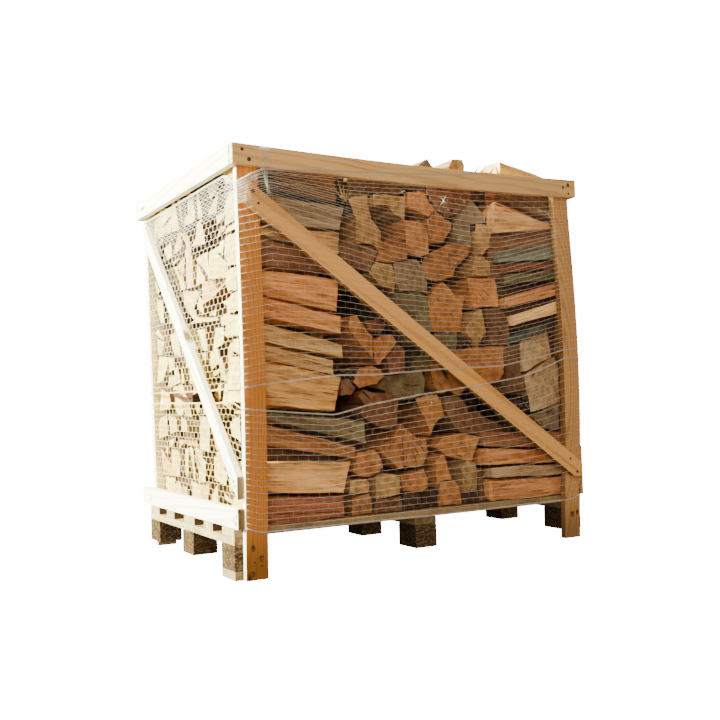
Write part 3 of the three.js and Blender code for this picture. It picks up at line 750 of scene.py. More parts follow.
RIGHT_LOGS = [
    [("orange", "round", 858, 1192, (140.5, 140.5), (212, 204), {"front": 2})],
    [("grey", "slab", 874, 1195, (213, 205), (250, 244), {"front": 8})],
    [("orange", "slab", 845, 1190, (255, 246), (315, 290), {"front": 3})],
    [("brown", "slab", 836, 1188, (316, 291), (368, 352), {"front": 6})],
    [("pale", "slab", 972, 1192, (704, 752), (740, 800), {"front": 4})],
    [("orange", "slab", 940, 1190, (762, 814), (798, 862), {"front": 5})],
    [("slate", "slab", 927, 1194, (910, 933), (952, 1000), {"front": 12})],
    [("amber", "slab", 906, 1150, (1001, 1036), (1112, 1048), {})],
    [("umber", "slab", 950, 1190, (1118, 1052), (1163, 1160), {"front": 5})],
]
# How much lighter than their colours they are, and how far the left ones' ends are painted sunlit
SIDE_LIGHT = 1.42
RIGHT_LIGHT = 2.05
SIDE_END_SUNLIGHT = 0.7


def add_side_log(work, seed, tone, section, start, end, low, high, cut=0, front=0, depth=None,
                 barked=False, steps=16, fine=3.6, relief=3.0, light=SIDE_LIGHT, sunny=0.0):
    """A log along the front, drawn in its mean section and then set to its two ends."""
    depth = LOG_DEPTH - front if depth is None else depth
    mean = (high[0] + high[1] - low[0] - low[1]) / 2
    outline = [(back * depth, up * mean) for back, up in SECTIONS[section]]

    def place(u, across, up):
        share = up / mean
        bottom = mix(low[0], low[1], u)
        top = mix(high[0], high[1], u)
        x = mix(start, end, u) + u * cut * (share - 1)
        return placed(x, LOAD_FRONT + front + across, mix(bottom, top, share))

    colour = varied(tone, seed, light=light)
    add_log(work, outline, end - start, place, seed, colour, barked=barked, fine=fine, steps=steps,
            relief=relief, shrink=0.6, tilt=0.06, sunny=sunny)


def side_logs(groups, side, first_seed, light, sunny):
    for index, logs in enumerate(groups):
        work = new_work()
        for number, (*log, more) in enumerate(logs):
            seed = first_seed + index + number * 40
            add_side_log(work, seed, *log, light=light, sunny=sunny, **more)
        name = f"log_{side}_{index + 1}"
        place_logs(work, name, f"split_{name}")


def top_log():
    work = new_work()
    add_side_log(work, 91, "yellow", "thick", 950, 1165, (1164, 1161.5), (1256, 1213),
                 front=20, depth=120)
    place_logs(work, "log_top", "split_log_top")


# Stacks of logs that no view singles out, spread by the same seeded numbers as the solids
SPREAD_FACTOR = 16807
SPREAD_MODULUS = 2147483647
STACK_ROWS = 10
STACK_TOP = 1150
ROW_HEIGHT = (STACK_TOP - DECK_TOP) / STACK_ROWS
ROW_WAVE = 9
ROW_LAP = 1
COLUMN_LAP = 0.5
COLUMN_SHIFT = 0.3
EDGE_SHIFT = 9
EDGE_SPLAY = 14
CORNER_INSETS = (12, 30)
CUT_SHARE = 0.6
TOP_ROW_SHARE = 0.6
BEHIND_FRONT_LOGS = LOAD_FRONT + LOG_DEPTH + 1.5
TOP_ROW_HEIGHT = 0.4
STAGGER = 12
LOOSE_STAGGER = 9
TOP_LOG_BACK = 165


class Spread:
    def __init__(self, seed):
        self.state = seed

    def __call__(self, low, high):
        self.state = self.state * SPREAD_FACTOR % SPREAD_MODULUS
        return low + (high - low) * (self.state / SPREAD_MODULUS)


def row_level(row, along):
    wave = 0 if row == 0 else ROW_WAVE * math.sin(along * 0.021 + row * 2.1)
    return DECK_TOP + GAP + row * ROW_HEIGHT + wave


def row_top(row, along, height):
    return mix(row_level(row, along), row_level(row + 1, along), height) + ROW_LAP


def row_back(row):
    return LOAD_BACK - 2 + lean_at(DECK_TOP + row * ROW_HEIGHT)


def corner_cut(outline, corner, inset):
    spot = Vector(outline[corner])
    cut = []
    for other in (outline[corner - 1], outline[(corner + 1) % 4]):
        way = Vector(other) - spot
        cut.append(tuple(spot + way * (inset / way.length)))
    return outline[:corner] + cut + outline[corner + 1:]


def stacked(seed, columns, start, end_at):
    """Yields each log's outline, its row and how far its end stands back."""
    spread = Spread(seed)
    for row in range(STACK_ROWS + 1):
        reach = end_at(row) - start
        shift = 0 if row % 2 == 0 else COLUMN_SHIFT
        edges = [(start, start)]
        for column in range(1, columns):
            edge = start + reach * (column - shift) / columns
            lower = edge + spread(-EDGE_SHIFT, EDGE_SHIFT)
            edges.append((lower, edge + spread(-EDGE_SPLAY, EDGE_SPLAY)))
        edges.append((start + reach, start + reach))
        height = TOP_ROW_HEIGHT if row == STACK_ROWS else 1
        for column, (low, high) in enumerate(zip(edges, edges[1:])):
            outline = [
                (low[0], row_level(row, low[0])),
                (high[0] + COLUMN_LAP, row_level(row, high[0])),
                (high[1] + COLUMN_LAP, row_top(row, high[1], height)),
                (low[1], row_top(row, low[1], height)),
            ]
            corner = int(spread(0, 4))
            inset = spread(*CORNER_INSETS)
            kept = row < STACK_ROWS or (column > 0 and spread(0, 1) < TOP_ROW_SHARE)
            if spread(0, 1) < CUT_SHARE:
                outline = corner_cut(outline, corner, inset)
            yield outline, row, spread(0, STAGGER) if kept else LOOSE_STAGGER


STACK_TONES = ["pale", "tan", "pale", "yellow", "tan", "orange", "pale", "bright", "tan", "brown"]
SPLIT_SHARE = 0.68
# Half the width of a split, in the left column's face and elsewhere
WIDE_SPLITS = (1.5, 8)
THIN_SPLITS = (0.6, 2.5)
# How far back the dark logs, the pushed-back logs and the others stand
DARK_DEPTHS = (46, 74)
SUNK_DEPTHS = (40, 100)
PLAIN_DEPTHS = (0, 16)
SUNK_SHARE = 0.14
# How far from a log's middle its corners split off
CORNER_REACH = (20, 42)
# Beyond this depth no log of the side columns is pushed back, and the dark ones stand nearer
SINK_LIMIT = 500
SHALLOW = 0.42
# How far the ends are painted sunlit: the left column's share, and its range from log to log
STACK_END_SUNLIGHT = 0.85
END_SUNLIGHT_RANGE = (0.15, 1.1)
# Dark gaps between the ends on the left face: two ends, as depth and height, and half a width
LEFT_GAPS = [
    ((37, 1066), (192, 998), 24), ((192, 998), (365, 955), 14), ((63, 820), (281, 770), 17),
    ((595, 966), (731, 947), 12), ((659, 886), (509, 773), 12), ((348, 836), (404, 772), 10),
    ((408, 725), (212, 718), 9), ((859, 761), (655, 745), 9), ((436, 495), (351, 509), 16),
    ((231, 478), (18, 413), 14), ((593, 380), (387, 382), 12), ((301, 356), (316, 269), 12),
    ((508, 294), (505, 207), 14), ((729, 314), (595, 217), 13), ((156, 279), (89, 243), 14),
    ((556, 463), (582, 390), 9), ((770, 358), (582, 390), 8), ((381, 463), (386, 400), 8),
    ((713, 532), (543, 502), 9),
]
GAP_REACH = 50


def nearest_gap(centre, gaps):
    """The closest point of a gap's line, the way across the line and half the gap's width."""
    found = None
    closest = GAP_REACH
    for first, second, half in gaps:
        first = Vector(first)
        along = Vector(second) - first
        spot = first + along * limited((centre - first).dot(along) / along.length_squared)
        if (spot - centre).length < closest:
            closest = (spot - centre).length
            found = spot, Vector((-along.y, along.x)).normalized(), half
    return found


def add_stacked(work, outline, start, end, direction, seed, face_first, gaps=(), sunny=0.0,
                sink_limit=math.inf):
    """One place of a stack: a whole log with its corners split off, or two halves.

    Some are pushed back from the stack's face, which is at the start or at the end, and some of
    those turn brown as painted shade. A dark log behind shows in the gaps as painted shade."""
    spread = Spread(seed * 977 + 31)
    # The first number follows the seed too closely to be used
    spread(0, 1)
    centre = centre_of([Vector(point) for point in outline])
    turn = spread(0, math.pi)
    way = Vector((math.cos(turn), math.sin(turn)))
    halves = [()]
    gap = nearest_gap(centre, gaps)
    if gap:
        spot, way, half_width = gap
        slot = way * half_width
    else:
        spot = centre + way * spread(-9, 9)
        slot = way * spread(*(WIDE_SPLITS if gaps else THIN_SPLITS))
    if gap or spread(0, 1) < SPLIT_SHARE:
        halves = [((spot - slot, way),), ((spot + slot, -way),)]
    deep = spread(*DARK_DEPTHS) * (1.0 if centre.x < sink_limit else SHALLOW)
    first, last = (start + deep, end) if face_first else (start, end - deep)
    # Painted shade: the dark log behind fills the gaps
    add_log(work, outline, last - first, direction(first, last), seed, varied("dark", seed),
            fine=30, steps=2, relief=0.5, shrink=7)
    for half, cuts in enumerate(halves):
        number = seed * 2 + half
        for _ in range(int(spread(0, 3.4))):
            angle = spread(0, 2 * math.pi)
            off = Vector((math.cos(angle), math.sin(angle)))
            cuts = cuts + ((centre + off * spread(*CORNER_REACH), off),)
        back = spread(*PLAIN_DEPTHS)
        kind = STACK_TONES[(number * 31) % len(STACK_TONES)]
        if spread(0, 1) < SUNK_SHARE and centre.x < sink_limit:
            back = spread(*SUNK_DEPTHS)
            # Painted shade: a pushed-back log turns brown
            kind = "brown"
        first, last = (start + back, end) if face_first else (start, end - back)
        tone = varied(kind, number)
        add_log(work, outline, last - first, direction(first, last), number, tone,
                barked=number % 4 == 0, fine=6.5, steps=4, relief=2.0, shrink=2.2, tilt=0.12,
                cuts=cuts, sunny=sunny * spread(*END_SUNLIGHT_RANGE))


# Lower and upper face of the dark logs half hidden behind the left column's front ones, as
# painted shade in the gaps
LEFT_SUNK = [(300, 376), (1064, 1116)]
SUNK_FRONT = 42


def add_level_log(work, seed, tone, start, end, low, high, front=SUNK_FRONT, depth=None, steps=6,
                  relief=1.5):
    """A plain log along the front with level faces."""
    add_side_log(work, seed, tone, "block", start, end, (low, low), (high, high), front=front,
                 depth=depth, steps=steps, fine=7, relief=relief)


def left_stack():
    work = new_work()
    rows = stacked(41, 7, BEHIND_FRONT_LOGS, row_back)
    for seed, (outline, _, stagger) in enumerate(rows, 200):
        add_stacked(work, outline, 3 + stagger, COLUMN_LEFT, crosswise, seed, True, LEFT_GAPS,
                    STACK_END_SUNLIGHT, SINK_LIMIT)
    for number, (low, high) in enumerate(LEFT_SUNK):
        add_level_log(work, 190 + number, "dark", 12, COLUMN_LEFT - 2, low, high)
    place_logs(work, "firewood_left", "split_logs_left")


def rear_stack():
    work = new_work()
    rows = stacked(77, 6, COLUMN_LEFT + 4, lambda row: COLUMN_RIGHT - 4)
    for seed, (outline, row, stagger) in enumerate(rows, 400):
        back = row_back(row) - stagger
        add_stacked(work, outline, LOAD_BACK - LOG_LENGTH, back, depthwise, seed, False)
    place_logs(work, "firewood_middle_rear", "split_logs_middle_rear")


# The right column's two big logs that are seen from their ends fill it between these heights
END_ON_LOW = 345
END_ON_HIGH = 716
END_ON_REACH = 982
# Dark logs half hidden behind the right column's front ones, brown higher up, as painted shade
# in the gaps: left end, lower and upper face
SUNK_LOGS = [
    (1150, 340, 475), (1146, 465, 600), (1146, 585, 722), (940, 693, 808), (905, 795, 875),
    (905, 862, 942), (905, 930, 1016), (905, 1005, 1096), (905, 1084, 1162), (880, 238, 310),
    (880, 306, 384),
]
DIM_LOGS_ABOVE = 860
# Thin splits that stand behind the right front post: lower and upper face
POST_SPLITS = [(300, 398), (388, 514), (504, 618), (606, 772)]
POST_SPLIT_LEFT = 1174


def right_stack():
    work = new_work()
    rows = stacked(23, 7, BEHIND_FRONT_LOGS, row_back)
    for seed, (outline, row, stagger) in enumerate(rows, 600):
        heights = [up for across, up in outline]
        near_front = any(across < FRONT_ROW + 2 for across, up in outline)
        under_top = row == STACK_ROWS and any(across < TOP_LOG_BACK + 1 for across, up in outline)
        between = near_front and max(heights) > END_ON_LOW and min(heights) < END_ON_HIGH
        if under_top or between:
            continue
        above = near_front and min(heights) >= END_ON_HIGH
        start = END_ON_REACH if above else COLUMN_RIGHT + 2
        add_stacked(work, outline, start, WIDTH - 3 - stagger, crosswise, seed, False,
                    sink_limit=SINK_LIMIT)
    add_side_log(work, 701, "olive", "slab", 955, 1190, (840, 868), (876, 900), front=8, depth=93)
    add_side_log(work, 702, "red", "slab", 943, 1188, (878, 902), (909, 932), front=10, depth=93)
    for number, (start, low, high) in enumerate(SUNK_LOGS):
        tone = "brown" if low > DIM_LOGS_ABOVE else "dark"
        add_level_log(work, 720 + number, tone, start, WIDTH - 4, low, high)
    for number, (low, high) in enumerate(POST_SPLITS):
        add_level_log(work, 740 + number, "brown", POST_SPLIT_LEFT, WIDTH - 4, low, high,
                      front=7, depth=60, steps=3, relief=1.0)
    place_logs(work, "firewood_right", "split_logs_right")


middle_front_logs()
side_logs(LEFT_LOGS, "left", 20, SIDE_LIGHT, SIDE_END_SUNLIGHT)
side_logs(RIGHT_LOGS, "right", 50, RIGHT_LIGHT, 0.0)
top_log()
left_stack()
rear_stack()
right_stack()

# Crate boards and pallet: each solid's own shape with eased edges, and wood coordinates
X_WAY = Vector((1, 0, 0))
Y_WAY = Vector((0, 1, 0))
Z_WAY = Vector((0, 0, 1))
FRONT_BRACE_WAY = Vector((1161, 0, -842)).normalized()
BACK_BRACE_WAY = Vector((1161, 0, 842)).normalized()
SIDE_BRACE_WAY = Vector((0, 802, 824)).normalized()
POST_TONE = (0.565, 0.205, 0.034)
FAR_POST_TONE = (0.57, 0.29, 0.10)
PALE_POST_TONE = (0.80, 0.62, 0.30)
RAIL_TONE = (0.75, 0.44, 0.18)
# Painted sunlight: the paler colour of the boards and faces on the left side
SUNLIT_TONE = (0.90, 0.87, 0.72)
BRACE_TONE = (0.79, 0.39, 0.112)
DECK_TONE = (0.36, 0.24, 0.125)
# Painted sunlight on the pallet's left faces
SUNLIT_DECK_TONE = (0.52, 0.43, 0.18)
CHIPS_TINT = (1.0, 1.0, 1.0)
# Painted light: the blocks' front faces are made lighter
LIT_CHIPS_FRONT = (1.45, 1.45, 1.5)
ROW_NAMES = ("front", "middle", "back")
SIDE_NAMES = ("left", "middle", "right")
BOARDS = [
    ("post_front_left", Z_WAY, X_WAY, POST_TONE, PINE),
    ("post_front_right", Z_WAY, X_WAY, FAR_POST_TONE, PINE),
    ("post_back_left", Z_WAY, X_WAY, PALE_POST_TONE, PINE),
    ("post_back_right", Z_WAY, X_WAY, FAR_POST_TONE, PINE),
    ("rail_front", X_WAY, Z_WAY, RAIL_TONE, PINE),
    ("rail_back", X_WAY, Z_WAY, RAIL_TONE, PINE),
    ("rail_left", Y_WAY, Z_WAY, SUNLIT_TONE, PINE),
    ("rail_right", Y_WAY, Z_WAY, RAIL_TONE, PINE),
    ("side_board_left", Y_WAY, Z_WAY, SUNLIT_TONE, PINE),
    ("side_board_right", Y_WAY, Z_WAY, RAIL_TONE, PINE),
    ("brace_front", FRONT_BRACE_WAY, Y_WAY.cross(FRONT_BRACE_WAY), BRACE_TONE, PINE),
    ("brace_back", BACK_BRACE_WAY, Y_WAY.cross(BACK_BRACE_WAY), BRACE_TONE, PINE),
    ("brace_left", SIDE_BRACE_WAY, X_WAY.cross(SIDE_BRACE_WAY), SUNLIT_TONE, PINE),
    ("brace_right", SIDE_BRACE_WAY, X_WAY.cross(SIDE_BRACE_WAY), BRACE_TONE, PINE),
    ("foot_pad", Y_WAY, X_WAY, DECK_TONE, GREY),
]
BOARDS += [(f"stringer_{side}", Y_WAY, X_WAY, DECK_TONE, GREY) for side in SIDE_NAMES]
BOARDS += [(f"deck_board_{number}", X_WAY, Y_WAY, DECK_TONE, GREY) for number in range(1, 6)]
BOARDS += [
    (f"block_{row}_{side}", Y_WAY, X_WAY, CHIPS_TINT, CHIPS)
    for row in ROW_NAMES
    for side in SIDE_NAMES
]
EASED_EDGE = 0.0016
FLAT_ANGLE = 0.004
EASED_ANGLE = 0.5
BOARD_GRAIN_STEP = 1.37
# What lies further left than this, in metres, is in the sun
LEFT_SIDE = -0.5
# Painted shade: shares of a colour kept on shaded faces, on ends and in the gaps
SIDE_SHADE = 0.45
END_SHADE = 0.7
GAP_SHADE = 0.2


def shaded(tone, share):
    return [part * share for part in tone]


def face_tone_with_light(name, tone, material, normal, middle):
    """Painted light and shade by the way a face turns: the sunlit colour on the left side, lighter
    block fronts, and painted shade on the other faces that turn left, on ends that face the front
    and in the narrow places between boards.
    """
    to_left = normal.x < -0.7
    to_front = normal.y < -0.9
    sunlit = to_left and middle.x < LEFT_SIDE
    if sunlit and material is GREY:
        return SUNLIT_DECK_TONE
    if name == "brace_front" and normal.x < -0.3:
        return shaded(tone, GAP_SHADE)
    if to_front and name.startswith("block"):
        return LIT_CHIPS_FRONT
    if to_front and name.startswith("stringer"):
        return shaded(tone, END_SHADE)
    if to_left:
        return SUNLIT_TONE if sunlit else shaded(tone, SIDE_SHADE)
    if to_front and tone == SUNLIT_TONE:
        return shaded(DECK_TONE, END_SHADE)
    if abs(normal.y) > 0.7 and name.startswith("deck") and name != "deck_board_1":
        return shaded(tone, GAP_SHADE)
    return tone


def dress_board(name, way, across, tone, material, seed):
    work = bmesh.new()
    work.from_mesh(frame["nodes"][name].data)
    bmesh.ops.remove_doubles(work, verts=list(work.verts), dist=1e-5)
    bmesh.ops.dissolve_limit(work, angle_limit=FLAT_ANGLE, verts=list(work.verts),
                             edges=list(work.edges))
    sharp = [edge for edge in work.edges if edge.calc_face_angle(0) > EASED_ANGLE]
    bmesh.ops.bevel(work, geom=sharp, offset=EASED_EDGE, segments=2, profile=0.5, affect="EDGES",
                    material=-1)
    grain, colour = wood_layers(work)
    through = way.cross(across)
    middle = sum((vert.co for vert in work.verts), Vector()) / len(work.verts)
    for face in work.faces:
        end = abs(face.normal.dot(way)) > 0.8 and material is not CHIPS
        face.material_index = 1 if end else 0
        own = face_tone_with_light(name, tone, material, face.normal, face.calc_center_median())
        for loop in face.loops:
            spot = loop.vert.co - middle
            along = spot.dot(way) + seed * BOARD_GRAIN_STEP
            loop[grain] = (along, spot.dot(across), spot.dot(through))
            loop[colour] = (*own, 0)
    instead_of(name, f"wood_{name}", to_mesh(work, name), [material, LOG_MATERIALS[SAWN]])


for number, entry in enumerate(BOARDS):
    dress_board(*entry, number)

# Net: two bands of knitted cord round posts, braces and load. Rows of cord run round the crate
# and zigzag from station to station, with links between them.
CORD_RADIUS = 0.5
LINK_RADIUS = 0.6
FRONT_LINK = 0.2
SIDE_ROW = 1.4
CORD_CLEARANCE = 0.6
NET_OFF = 1
NET_LEFT = -NET_OFF
NET_RIGHT = WIDTH + NET_OFF
SIDE_X = -GAP - 0.75
BRACE_UPPER = [(26, 1092), (1187, 250)]
BRACE_LOWER = [(14, 1030), (1150, 208)]
BRACE_RIGHT = 1186
# The back brace's heights at the net, and how much lower it lies than the front one
BACK_BRACE_LOW = 190
BACK_BRACE_HIGH = 1072
BACK_BRACE_DROP = 20
RAIL_LEFT = -19
RAIL_LENGTH = 1237
# The net leaves the posts between these heights for the face of the rail
RAMP_LOW = 1040
RAMP_HIGH = 1128
POST_LINE_TOP = 1130
UNDER_RAIL = 1134
FRONT_STATIONS = 76
SIDE_STATIONS = 50
UPPER_ROWS = 42
LOWER_ROWS = 20
WAVE_FRONT = 0.4
WAVE_SIDE = 1.2
SLOW_SLACK = 3.0
QUICK_SLACK = 1.2
HEM_LIFTS = (1.5, 3.2)
# How fast the lower and the upper hem come to the back's height along a side
TURN_RATES = (2.5, 9)


def edge_x(edge, z):
    (x0, z0), (x1, z1) = edge
    return x0 + (z - z0) * (x1 - x0) / (z1 - z0)


def brace_span(z):
    """Where the front brace lies at a height, from its lower to its upper edge."""
    lower = limited(edge_x(BRACE_LOWER, z), BRACE_LOWER[0][0], BRACE_RIGHT)
    upper = limited(edge_x(BRACE_UPPER, z), BRACE_UPPER[0][0], BRACE_UPPER[1][0])
    return lower, upper


def taut(supports):
    """The outer line over the supports, as a cord pulled tight lies on them."""
    line = []
    for point in sorted(supports):
        while len(line) > 1:
            (ax, ay), (bx, by) = line[-2], line[-1]
            if (bx - ax) * (point[1] - ay) - (by - ay) * (point[0] - ax) > 0:
                break
            line.pop()
        line.append(point)
    return line


def front_line(z):
    left, right = -bow_at(0, z), -bow_at(WIDTH - POST_INNER, z)
    supports = [(NET_LEFT, left), (POST_INNER, left)]
    supports += [(WIDTH - POST_INNER, right), (NET_RIGHT, right)]
    if BRACE_LOWER[1][1] < z < BRACE_UPPER[0][1]:
        for x in brace_span(z):
            out = mix(BRACE_OUT_LEFT, BRACE_OUT_RIGHT, x / WIDTH) + BOARD
            supports.append((x, -out))
    return taut(supports)


def rail_top(x):
    return HEIGHT - RAIL_SAG * math.sin(math.pi * limited((x - RAIL_LEFT) / RAIL_LENGTH))


def front_spot(x, z):
    y = along_line(front_line(min(z, POST_LINE_TOP)), x) - CORD_RADIUS - CORD_CLEARANCE
    on_rail = -(BOARD + CORD_RADIUS + CORD_CLEARANCE)
    y = min(y, on_rail * eased((z - RAMP_LOW) / (RAMP_HIGH - RAMP_LOW)))
    over = z - rail_top(x) - CORD_RADIUS
    if over > 0:
        return placed(x, y + over, z - over)
    return placed(x, y, z)


def back_spot(x, z):
    post = -(PALLET_BACK + GAP + BOARD + lean_at(z))
    supports = [(edge, post) for edge in (NET_LEFT, POST_INNER, WIDTH - POST_INNER, NET_RIGHT)]
    if BACK_BRACE_LOW < z < BACK_BRACE_HIGH:
        low, high = brace_span(z + BACK_BRACE_DROP)
        brace = post - BOARD - GAP
        supports += [(WIDTH - high, brace), (WIDTH - low, brace)]
    return placed(x, -along_line(taut(supports), x) + CORD_RADIUS + CORD_CLEARANCE, z)


# Heights along the front at shares of a band's rows: hems, and lines that the rows between
# them follow, because the net was pulled into a bunch at the upper left and upwards at the right
UPPER_GUIDES = [
    (0.0, [(-1, 522), (57, 531), (290, 551), (409, 551), (599, 563), (872, 572), (1040, 600),
           (1134, 622), (1201, 626)]),
    (0.634, [(-1, 1030), (66, 1046), (90, 1056), (198, 1036), (330, 1008), (480, 965), (620, 945),
             (800, 928), (900, 938), (1134, 1000), (1201, 1010)]),
    (0.85, [(-1, 1075), (66, 1105), (90, 1108), (330, 1078), (600, 1085), (800, 1075),
            (1000, 1085), (1134, 1098), (1201, 1100)]),
    (1.0, [(-1, 1091), (72, 1129), (331, 1146), (505, 1157), (741, 1175), (819, 1188), (960, 1204),
           (1201, 1200)]),
]
UPPER_BACK = [(0.0, 520), (0.634, 1020), (1.0, 1126)]
LOWER_GUIDES = [
    (0.0, [(-1, 143), (40, 128), (600, 124), (1160, 127), (1201, 143)]),
    (1.0, [(-1, 468), (61, 463), (274, 444), (386, 468), (556, 491), (673, 503), (745, 512),
           (939, 537), (1022, 558), (1134, 596), (1201, 600)]),
]
LOWER_BACK = [(0.0, 143), (1.0, 487)]


def net_stations():
    """Stops round the crate: a face's name and the place along it."""
    width = NET_RIGHT - NET_LEFT
    stops = [("front", width * i / FRONT_STATIONS + NET_LEFT) for i in range(FRONT_STATIONS)]
    stops += [("right", i / SIDE_STATIONS) for i in range(SIDE_STATIONS)]
    stops += [("back", NET_RIGHT - width * i / FRONT_STATIONS) for i in range(FRONT_STATIONS)]
    stops += [("left", 1 - i / SIDE_STATIONS) for i in range(SIDE_STATIONS)]
    return stops


def front_height(guides, x, share):
    for (low_share, low), (high_share, high) in zip(guides, guides[1:]):
        if share <= high_share:
            part = (share - low_share) / (high_share - low_share)
            return mix(along_line(low, x), along_line(high, x), part)
    return along_line(guides[-1][1], x)


def net_height(face, place, guides, backs, share):
    back = along_line(backs, share)
    if face == "front":
        return front_height(guides, place, share)
    if face == "back":
        return back
    corner = NET_LEFT if face == "left" else NET_RIGHT
    turned = eased(place * mix(*TURN_RATES, share))
    return mix(front_height(guides, corner, share), back, turned)


def net_spot(face, place, z):
    if face == "front":
        return front_spot(place, z)
    if face == "back":
        return back_spot(place, z)
    side = SIDE_X if face == "left" else WIDTH - SIDE_X
    z = min(z, UNDER_RAIL)
    first = -bow_at(0 if face == "left" else WIDTH - POST_INNER, z) - NET_OFF
    last = PALLET_BACK + GAP + BOARD + lean_at(z) + NET_OFF
    return placed(side, mix(first, last, place), z)


def cord_mesh(name, routes, radius, cyclic):
    """Tubes along routes: lists of points, each with one share of the radius or one a point."""
    curve = bpy.data.curves.new(name, "CURVE")
    curve.dimensions = "3D"
    curve.bevel_depth = radius / 1000
    curve.bevel_resolution = 0
    curve.use_fill_caps = True
    for route, thickness in routes:
        spline = curve.splines.new("POLY")
        spline.points.add(len(route) - 1)
        spline.points.foreach_set("co", [c for point in route for c in (*point, 1)])
        radii = thickness if isinstance(thickness, list) else [thickness] * len(route)
        spline.points.foreach_set("radius", radii)
        spline.use_cyclic_u = cyclic
    holder = bpy.data.objects.new(name, curve)
    bpy.context.scene.collection.objects.link(holder)
    bpy.context.view_layer.update()
    drawn = holder.evaluated_get(bpy.context.evaluated_depsgraph_get())
    mesh = bpy.data.meshes.new_from_object(drawn)
    bpy.data.objects.remove(holder)
    bpy.data.curves.remove(curve)
    mesh.materials.clear()
    return mesh


def slack(stop, row, seed):
    """Small unevenness of a row at a stop, in millimetres of height."""
    slow = noise.noise(Vector((stop * 0.035, row * 0.63, seed)))
    quick = noise.noise(Vector((stop * 0.31, row * 1.9, seed + 5)))
    return SLOW_SLACK * slow + QUICK_SLACK * quick


def net_band(name, guides, backs, rows, seed):
    stops = net_stations()
    levels = []
    for row in range(rows):
        share = row / (rows - 1)
        levels.append([net_height(face, place, guides, backs, share) + slack(number, row, seed)
                       for number, (face, place) in enumerate(stops)])
    rings = []
    for row, heights in enumerate(levels):
        ring = []
        for number, (face, place) in enumerate(stops):
            wave = WAVE_FRONT if face == "front" else WAVE_SIDE
            if row in (0, rows - 1):
                wave = 0
            up = wave if (number + row) % 2 else -wave
            ring.append(net_spot(face, place, heights[number] + up))
        rings.append(ring)
    links = []
    for row in range(rows - 1):
        for number, (face, place) in enumerate(stops):
            if (number + row) % 2:
                thickness = FRONT_LINK if face == "front" else 1.0
                links.append(([rings[row][number], rings[row + 1][number]], thickness))
    radii = [1.0 if face == "front" else SIDE_ROW for face, place in stops]
    cords = [(ring, radii) for ring in rings]
    for heights, way in ((levels[0], 1), (levels[-1], -1)):
        for lift in HEM_LIFTS:
            hem = [net_spot(face, place, heights[number] + way * lift)
                   for number, (face, place) in enumerate(stops)]
            cords.append((hem, radii))
    row_mesh = cord_mesh(f"{name}_rows", cords, CORD_RADIUS, True)
    link_mesh = cord_mesh(f"{name}_links", links, LINK_RADIUS, False)
    instead_of(f"net_{name}", f"{name}_rows", row_mesh, [CORD])
    finished(f"{name}_links", link_mesh, [CORD], "net")


net_band("upper", UPPER_GUIDES, UPPER_BACK, UPPER_ROWS, 3)
net_band("lower", LOWER_GUIDES, LOWER_BACK, LOWER_ROWS, 8)

# Bunched cord at the front-left corner, the loose net over the rail above it, and loose threads
CORNER_STRANDS = 8
HANGING_STRANDS = 9
RAIL_STRANDS = 9


def strand_along(path, turns, width, seed, steps=24):
    """A strand that winds round a path, in front of it."""
    route = []
    for number in range(steps + 1):
        share = number / steps
        at = share * (len(path) - 1)
        first = min(int(at), len(path) - 2)
        spot = Vector(path[first]).lerp(Vector(path[first + 1]), at - first)
        turn = seed * 2.4 + share * turns
        out = width * (0.3 + 1.4 * abs(noise.noise(Vector((share * 4, seed * 0.7, 3)))))
        spot += Vector((math.cos(turn), 0, 0.6 * math.sin(turn))) * out
        spot.y -= 1.2 + 1.4 * (1 + math.sin(turn * 1.3 + seed))
        route.append(placed(*spot))
    return route


LOOSE_THREADS = [
    [(1063, 1085), (1095, 1080), (1118, 1060)], [(1090, 1048), (1099, 1044), (1107, 1045)],
    [(528, 1101), (536, 1106), (544, 1107)], [(675, 1096), (684, 1085), (693, 1079)],
    [(670, 1074), (682, 1087), (690, 1102)],
]


def bunched_cord():
    routes = []
    corner = [(-1, -6, 1091), (34, -18, 1112), (71, -23, 1130)]
    for strand in range(CORNER_STRANDS):
        routes.append((strand_along(corner, 7, 2.2, strand), 1.0))
    for strand in range(HANGING_STRANDS):
        top = (60 + strand * 2.9, -23, 1136)
        hanging = [top, (74 + strand, -24.5, 1098), (80 + strand, -31, 1058)]
        routes.append((strand_along(hanging, 5 + strand % 3, 4.5, strand + 20), 0.65))
    for strand, path in enumerate(LOOSE_THREADS):
        routes.append((strand_along([(x, -9, z) for x, z in path], 3, 1.6, strand + 90), 1.5))
    for strand in range(RAIL_STRANDS):
        for way in (-1, 1):
            foot = 62 + strand * 4
            patch = [(foot, -22, 1134), (foot + way * 7, -22, 1162), (foot - way * 2, -22, 1189)]
            routes.append((strand_along(patch, 3, 1.4, strand * 2 + way + 60, 10), 0.55))
    mesh = cord_mesh("bunched_cord", routes, CORD_RADIUS, False)
    finished("bunched_cord", mesh, [CORD], "net")


bunched_cord()

# Splinters torn from the logs: foot, tip and width of each
SPLINTERS = [
    ((322, -24, 1062), (300, -30, 1118), 7), ((326, -24, 1060), (318, -31, 1104), 6),
    ((330, -24, 1058), (336, -30, 1112), 5), ((318, -24, 1064), (290, -27, 1092), 6),
    ((332, -24, 1060), (346, -27, 1090), 6), ((324, -24, 1062), (308, -29, 1086), 8),
    ((334, 10, 1058), (352, -6, 1074), 8), ((573, 8, 1092), (585, -4, 1108), 7),
    ((1062, 14, 1100), (1096, 4, 1086), 8), ((1126, 12, 1072), (1142, 4, 1062), 6),
    ((1100, 14, 1044), (1116, 6, 1054), 5), ((838, 44, 1190), (880, 60, 1232), 16),
    ((862, 44, 1186), (915, 70, 1238), 18), ((894, 50, 1184), (948, 66, 1236), 22),
    ((812, 40, 1188), (846, 50, 1206), 12), ((872, 40, 1186), (902, 48, 1216), 12),
]
